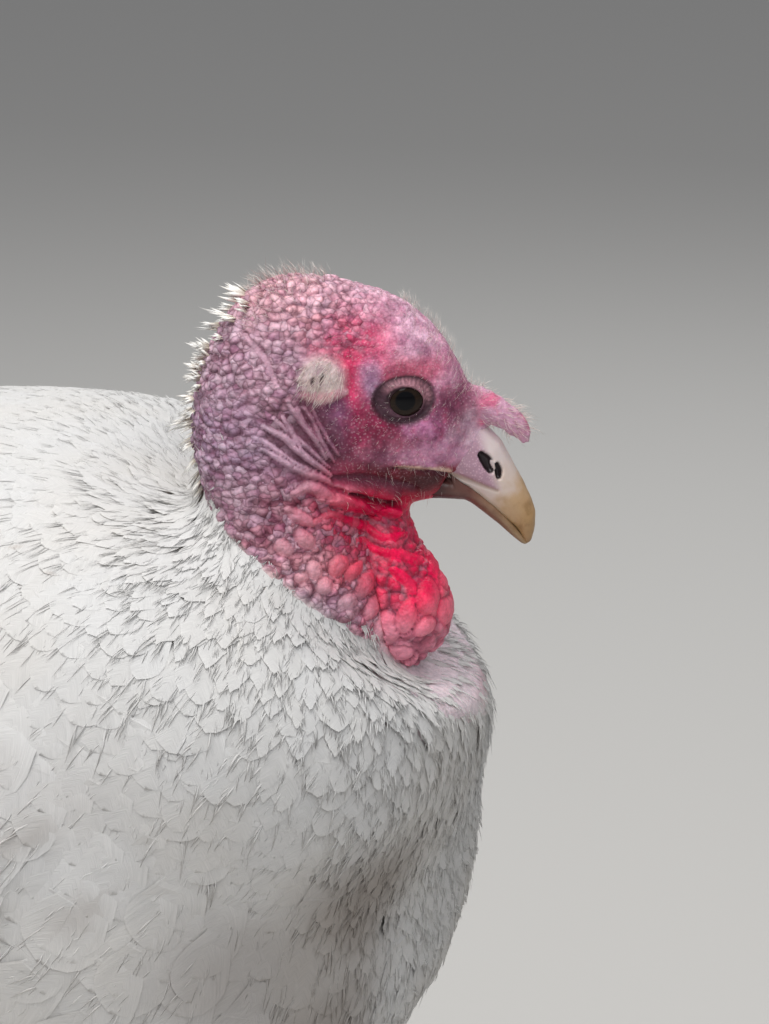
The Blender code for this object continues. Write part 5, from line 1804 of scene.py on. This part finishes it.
def hair_piece(name, material, roots, heading, size, stand, girth, flat=1.0, bend=0.3):
    """Tapered hairs that rise from the skin by the share stand and lean along the heading."""
    number = len(roots)
    roots, out = on_skin(roots)
    size, stand = each(size, number)[:, None] * MM, each(stand, number)[:, None]
    heading = unit(heading - out * (heading * out).sum(1)[:, None])
    way = unit(out * stand + heading)
    tip = roots + way * size + (heading - 0.4 * out) * size * bend * 0.5
    spine = np.stack((roots - out * 0.4 * MM, roots + way * size * 0.5, tip), 1)
    level = np.round(barb_lock.places[:, 2]).astype(int)
    along = unit(np.gradient(spine, axis=1))
    over = unit(out[:, None] - along * (along * out[:, None]).sum(2)[:, :, None] + 1e-6)
    side = np.cross(along, over)
    thick = (girth * MM * rng.uniform(0.7, 1.3, number))[:, None, None]
    thick = thick * np.array((0.7, 1.0, 0.0) if flat < 1 else (1.0, 0.75, 0.0))[level][None, :, None]
    x, y = barb_lock.places[None, :, 0, None], barb_lock.places[None, :, 1, None] * flat
    mesh = joined_copies(barb_lock.obj, number)
    put(mesh, (spine[:, level] + thick * (side[:, level] * x + over[:, level] * y)).reshape(-1, 3))
    mesh.shade_smooth()
    obj = linked(name, mesh)
    write(obj, "reach", np.tile(level / 2.0, number))
    ahead, aside, above = in_head(roots).T
    around = 0.5 + np.arctan2(aside, ahead - 4) / (2 * math.pi)
    patch = np.stack((0.0012 * barb_lock.places[:, 0], 0.0026 * (level / 2.0 - 0.5)), 1)
    flat_at = np.stack((around, 0.5 + above / 220), 1)[:, None] + patch[None]
    write_map(mesh, "OFBake", flat_at.reshape(-1, 2))
    obj.data.materials.append(material)
    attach(obj, "root")


def ahead_between(low, high):
    """Whether each place of the skin is between two distances ahead of the neck, in millimetres."""
    return (skin_forward > low) & (skin_forward < high)


pale_hair = hair_finish("pale_hair", (0.88, 0.83, 0.78), (0.74, 0.62, 0.56), (0.72, 0.52, 0.48))
dark_hair = hair_finish("dark_hair", (0.20, 0.11, 0.10), (0.40, 0.26, 0.24), (0.30, 0.14, 0.14))
tuft_finish = hair_finish("tuft_white", (0.90, 0.885, 0.86), (0.88, 0.85, 0.80), (0.80, 0.70, 0.54))
on_crown = ahead_between(-36, 46) & (skin_up > 45 - 0.55 * np.abs(skin_forward - 4))
on_brow = ahead_between(18, 47) & (skin_up > -4) & (skin_up < 46) & (np.abs(skin_side) < 12)
on_face = ahead_between(-8, 44) & (np.abs(skin_up) < 24) & (skin_normals[:, 2] < 0.7)
on_jaw = ahead_between(-2, 40) & (skin_up < -20) & (skin_up > -40)
off_ear = (skin_forward - EAR_MIDDLE[0]) / EAR_REACH[0], (skin_up - EAR_MIDDLE[1]) / EAR_REACH[1]
on_ear = off_ear[0] ** 2 + off_ear[1] ** 2 < 1
on_snood = (skin_forward > 45) & (skin_up > -16) & (np.abs(skin_side) < 8)
on_snood_tip = on_snood & (skin_forward > 54)
# name: finish, where, how many, heading ahead and up, lengths, girth, stand, scatter of the heading
HAIRS = {
    "crown_hairs": (pale_hair, on_crown, 260, (-0.6, 0.35), (3, 8), 0.07, 1.4, 0.35),
    "crown_dark_hairs": (dark_hair, on_crown, 150, (-0.6, 0.35), (3, 9), 0.06, 1.5, 0.35),
    "brow_fuzz": (pale_hair, on_brow, 420, (0.15, 1.0), (3, 6.5), 0.045, 1.0, 0.3),
    "face_down": (pale_hair, on_face, 420, (-0.8, -0.5), (1.2, 3.0), 0.045, 0.35, 0.3),
    "jaw_hairs": (pale_hair, on_jaw, 170, (0.1, -1.0), (2, 5), 0.05, 0.7, 0.3),
    "ear_bristles_right":
        (pale_hair, on_ear & (skin_side < 0), 210, (-0.45, -0.8), (3.5, 7), 0.09, 0.4, 0.2),
    "ear_bristles_left":
        (pale_hair, on_ear & (skin_side > 0), 210, (-0.45, -0.8), (3.5, 7), 0.09, 0.4, 0.2),
    "snood_bristles": (pale_hair, on_snood, 170, (0.9, 0.1), (2, 5), 0.06, 1.0, 0.3),
    "snood_tip_bristles": (pale_hair, on_snood_tip, 110, (0.8, -0.4), (3.5, 7.5), 0.07, 1.0, 0.35),
}
for name, (material, where, number, (ahead_part, up_part), lengths, girth, stand, scatter) in HAIRS.items():
    roots = skin_points[rng.choice(np.nonzero(where)[0], number, replace=False)]
    heading = unit(head_way(ahead_part, 0, up_part) + scatter * rng.normal(0, 1, (number, 3)))
    size, stands = rng.uniform(*lengths, number), stand * rng.uniform(0.6, 1.3, number)
    hair_piece(name, material, roots, heading, size, stands, girth)

# Nape tufts: root ahead and above, then how far the tip reaches back and up from it, in millimetres.
NAPE_TUFTS = (
    (-32, 31, -8.5, 3.5), (-37, 26.5, -10, 1), (-43, 22, -7.5, 0.5), (-49, 15.5, -7.5, 3),
    (-50.5, 11, -5, 1.5), (-53, 7, -5.5, 1.5), (-53.5, 3.5, -6, -0.8), (-54, -1.5, -6.5, -2),
    (-55.5, -7, -6, -4), (-54.5, -13.5, -9, -4), (-54, -20, -5, -5), (-53.5, -26.5, -5, -7.5),
    (-52, -31, -5, -8), (-50, -35, -5, -8.5), (-48, -40, -4.5, -9), (-45, -43, -5, -10),
)
BLADES = 7
roots, headings, lengths = [], [], []
for ahead_at, up_at, ahead_by, up_by in NAPE_TUFTS:
    for across in np.array((-8, 0, 8)) + rng.uniform(-2, 2, 3):
        far_out = 1 - (across / 16) ** 2
        root = np.array(head_point(ahead_at - 4, across, up_at + rng.uniform(-1.5, 1.5)))
        way = head_way(ahead_by, 0.35 * across, up_by)
        for lean in np.linspace(-0.55, 0.55, BLADES):
            fan = head_way(0, 0.6 * lean * 8, lean * 5 * abs(ahead_by) / 8)
            roots.append(root + rng.normal(0, 0.8, 3) * MM)
            headings.append(way + fan)
            reach = math.hypot(ahead_by, up_by) * far_out * (1.05 - 0.5 * abs(lean))
            lengths.append(reach * rng.uniform(0.8, 1.15))
roots, headings, lengths = np.array(roots), np.array(headings), np.array(lengths)
_, out = on_skin(roots)
outward = (unit(headings) * out).sum(1)
leaning = np.linalg.norm(unit(headings) - out * outward[:, None], axis=1)
stand = 1.25 * outward.clip(0.25, 1) / leaning.clip(0.25, 1)
hair_piece("nape_tufts", tuft_finish, roots, headings, lengths, stand, 0.85, 0.22, 0.1)
bpy.data.objects.remove(barb_lock.obj)
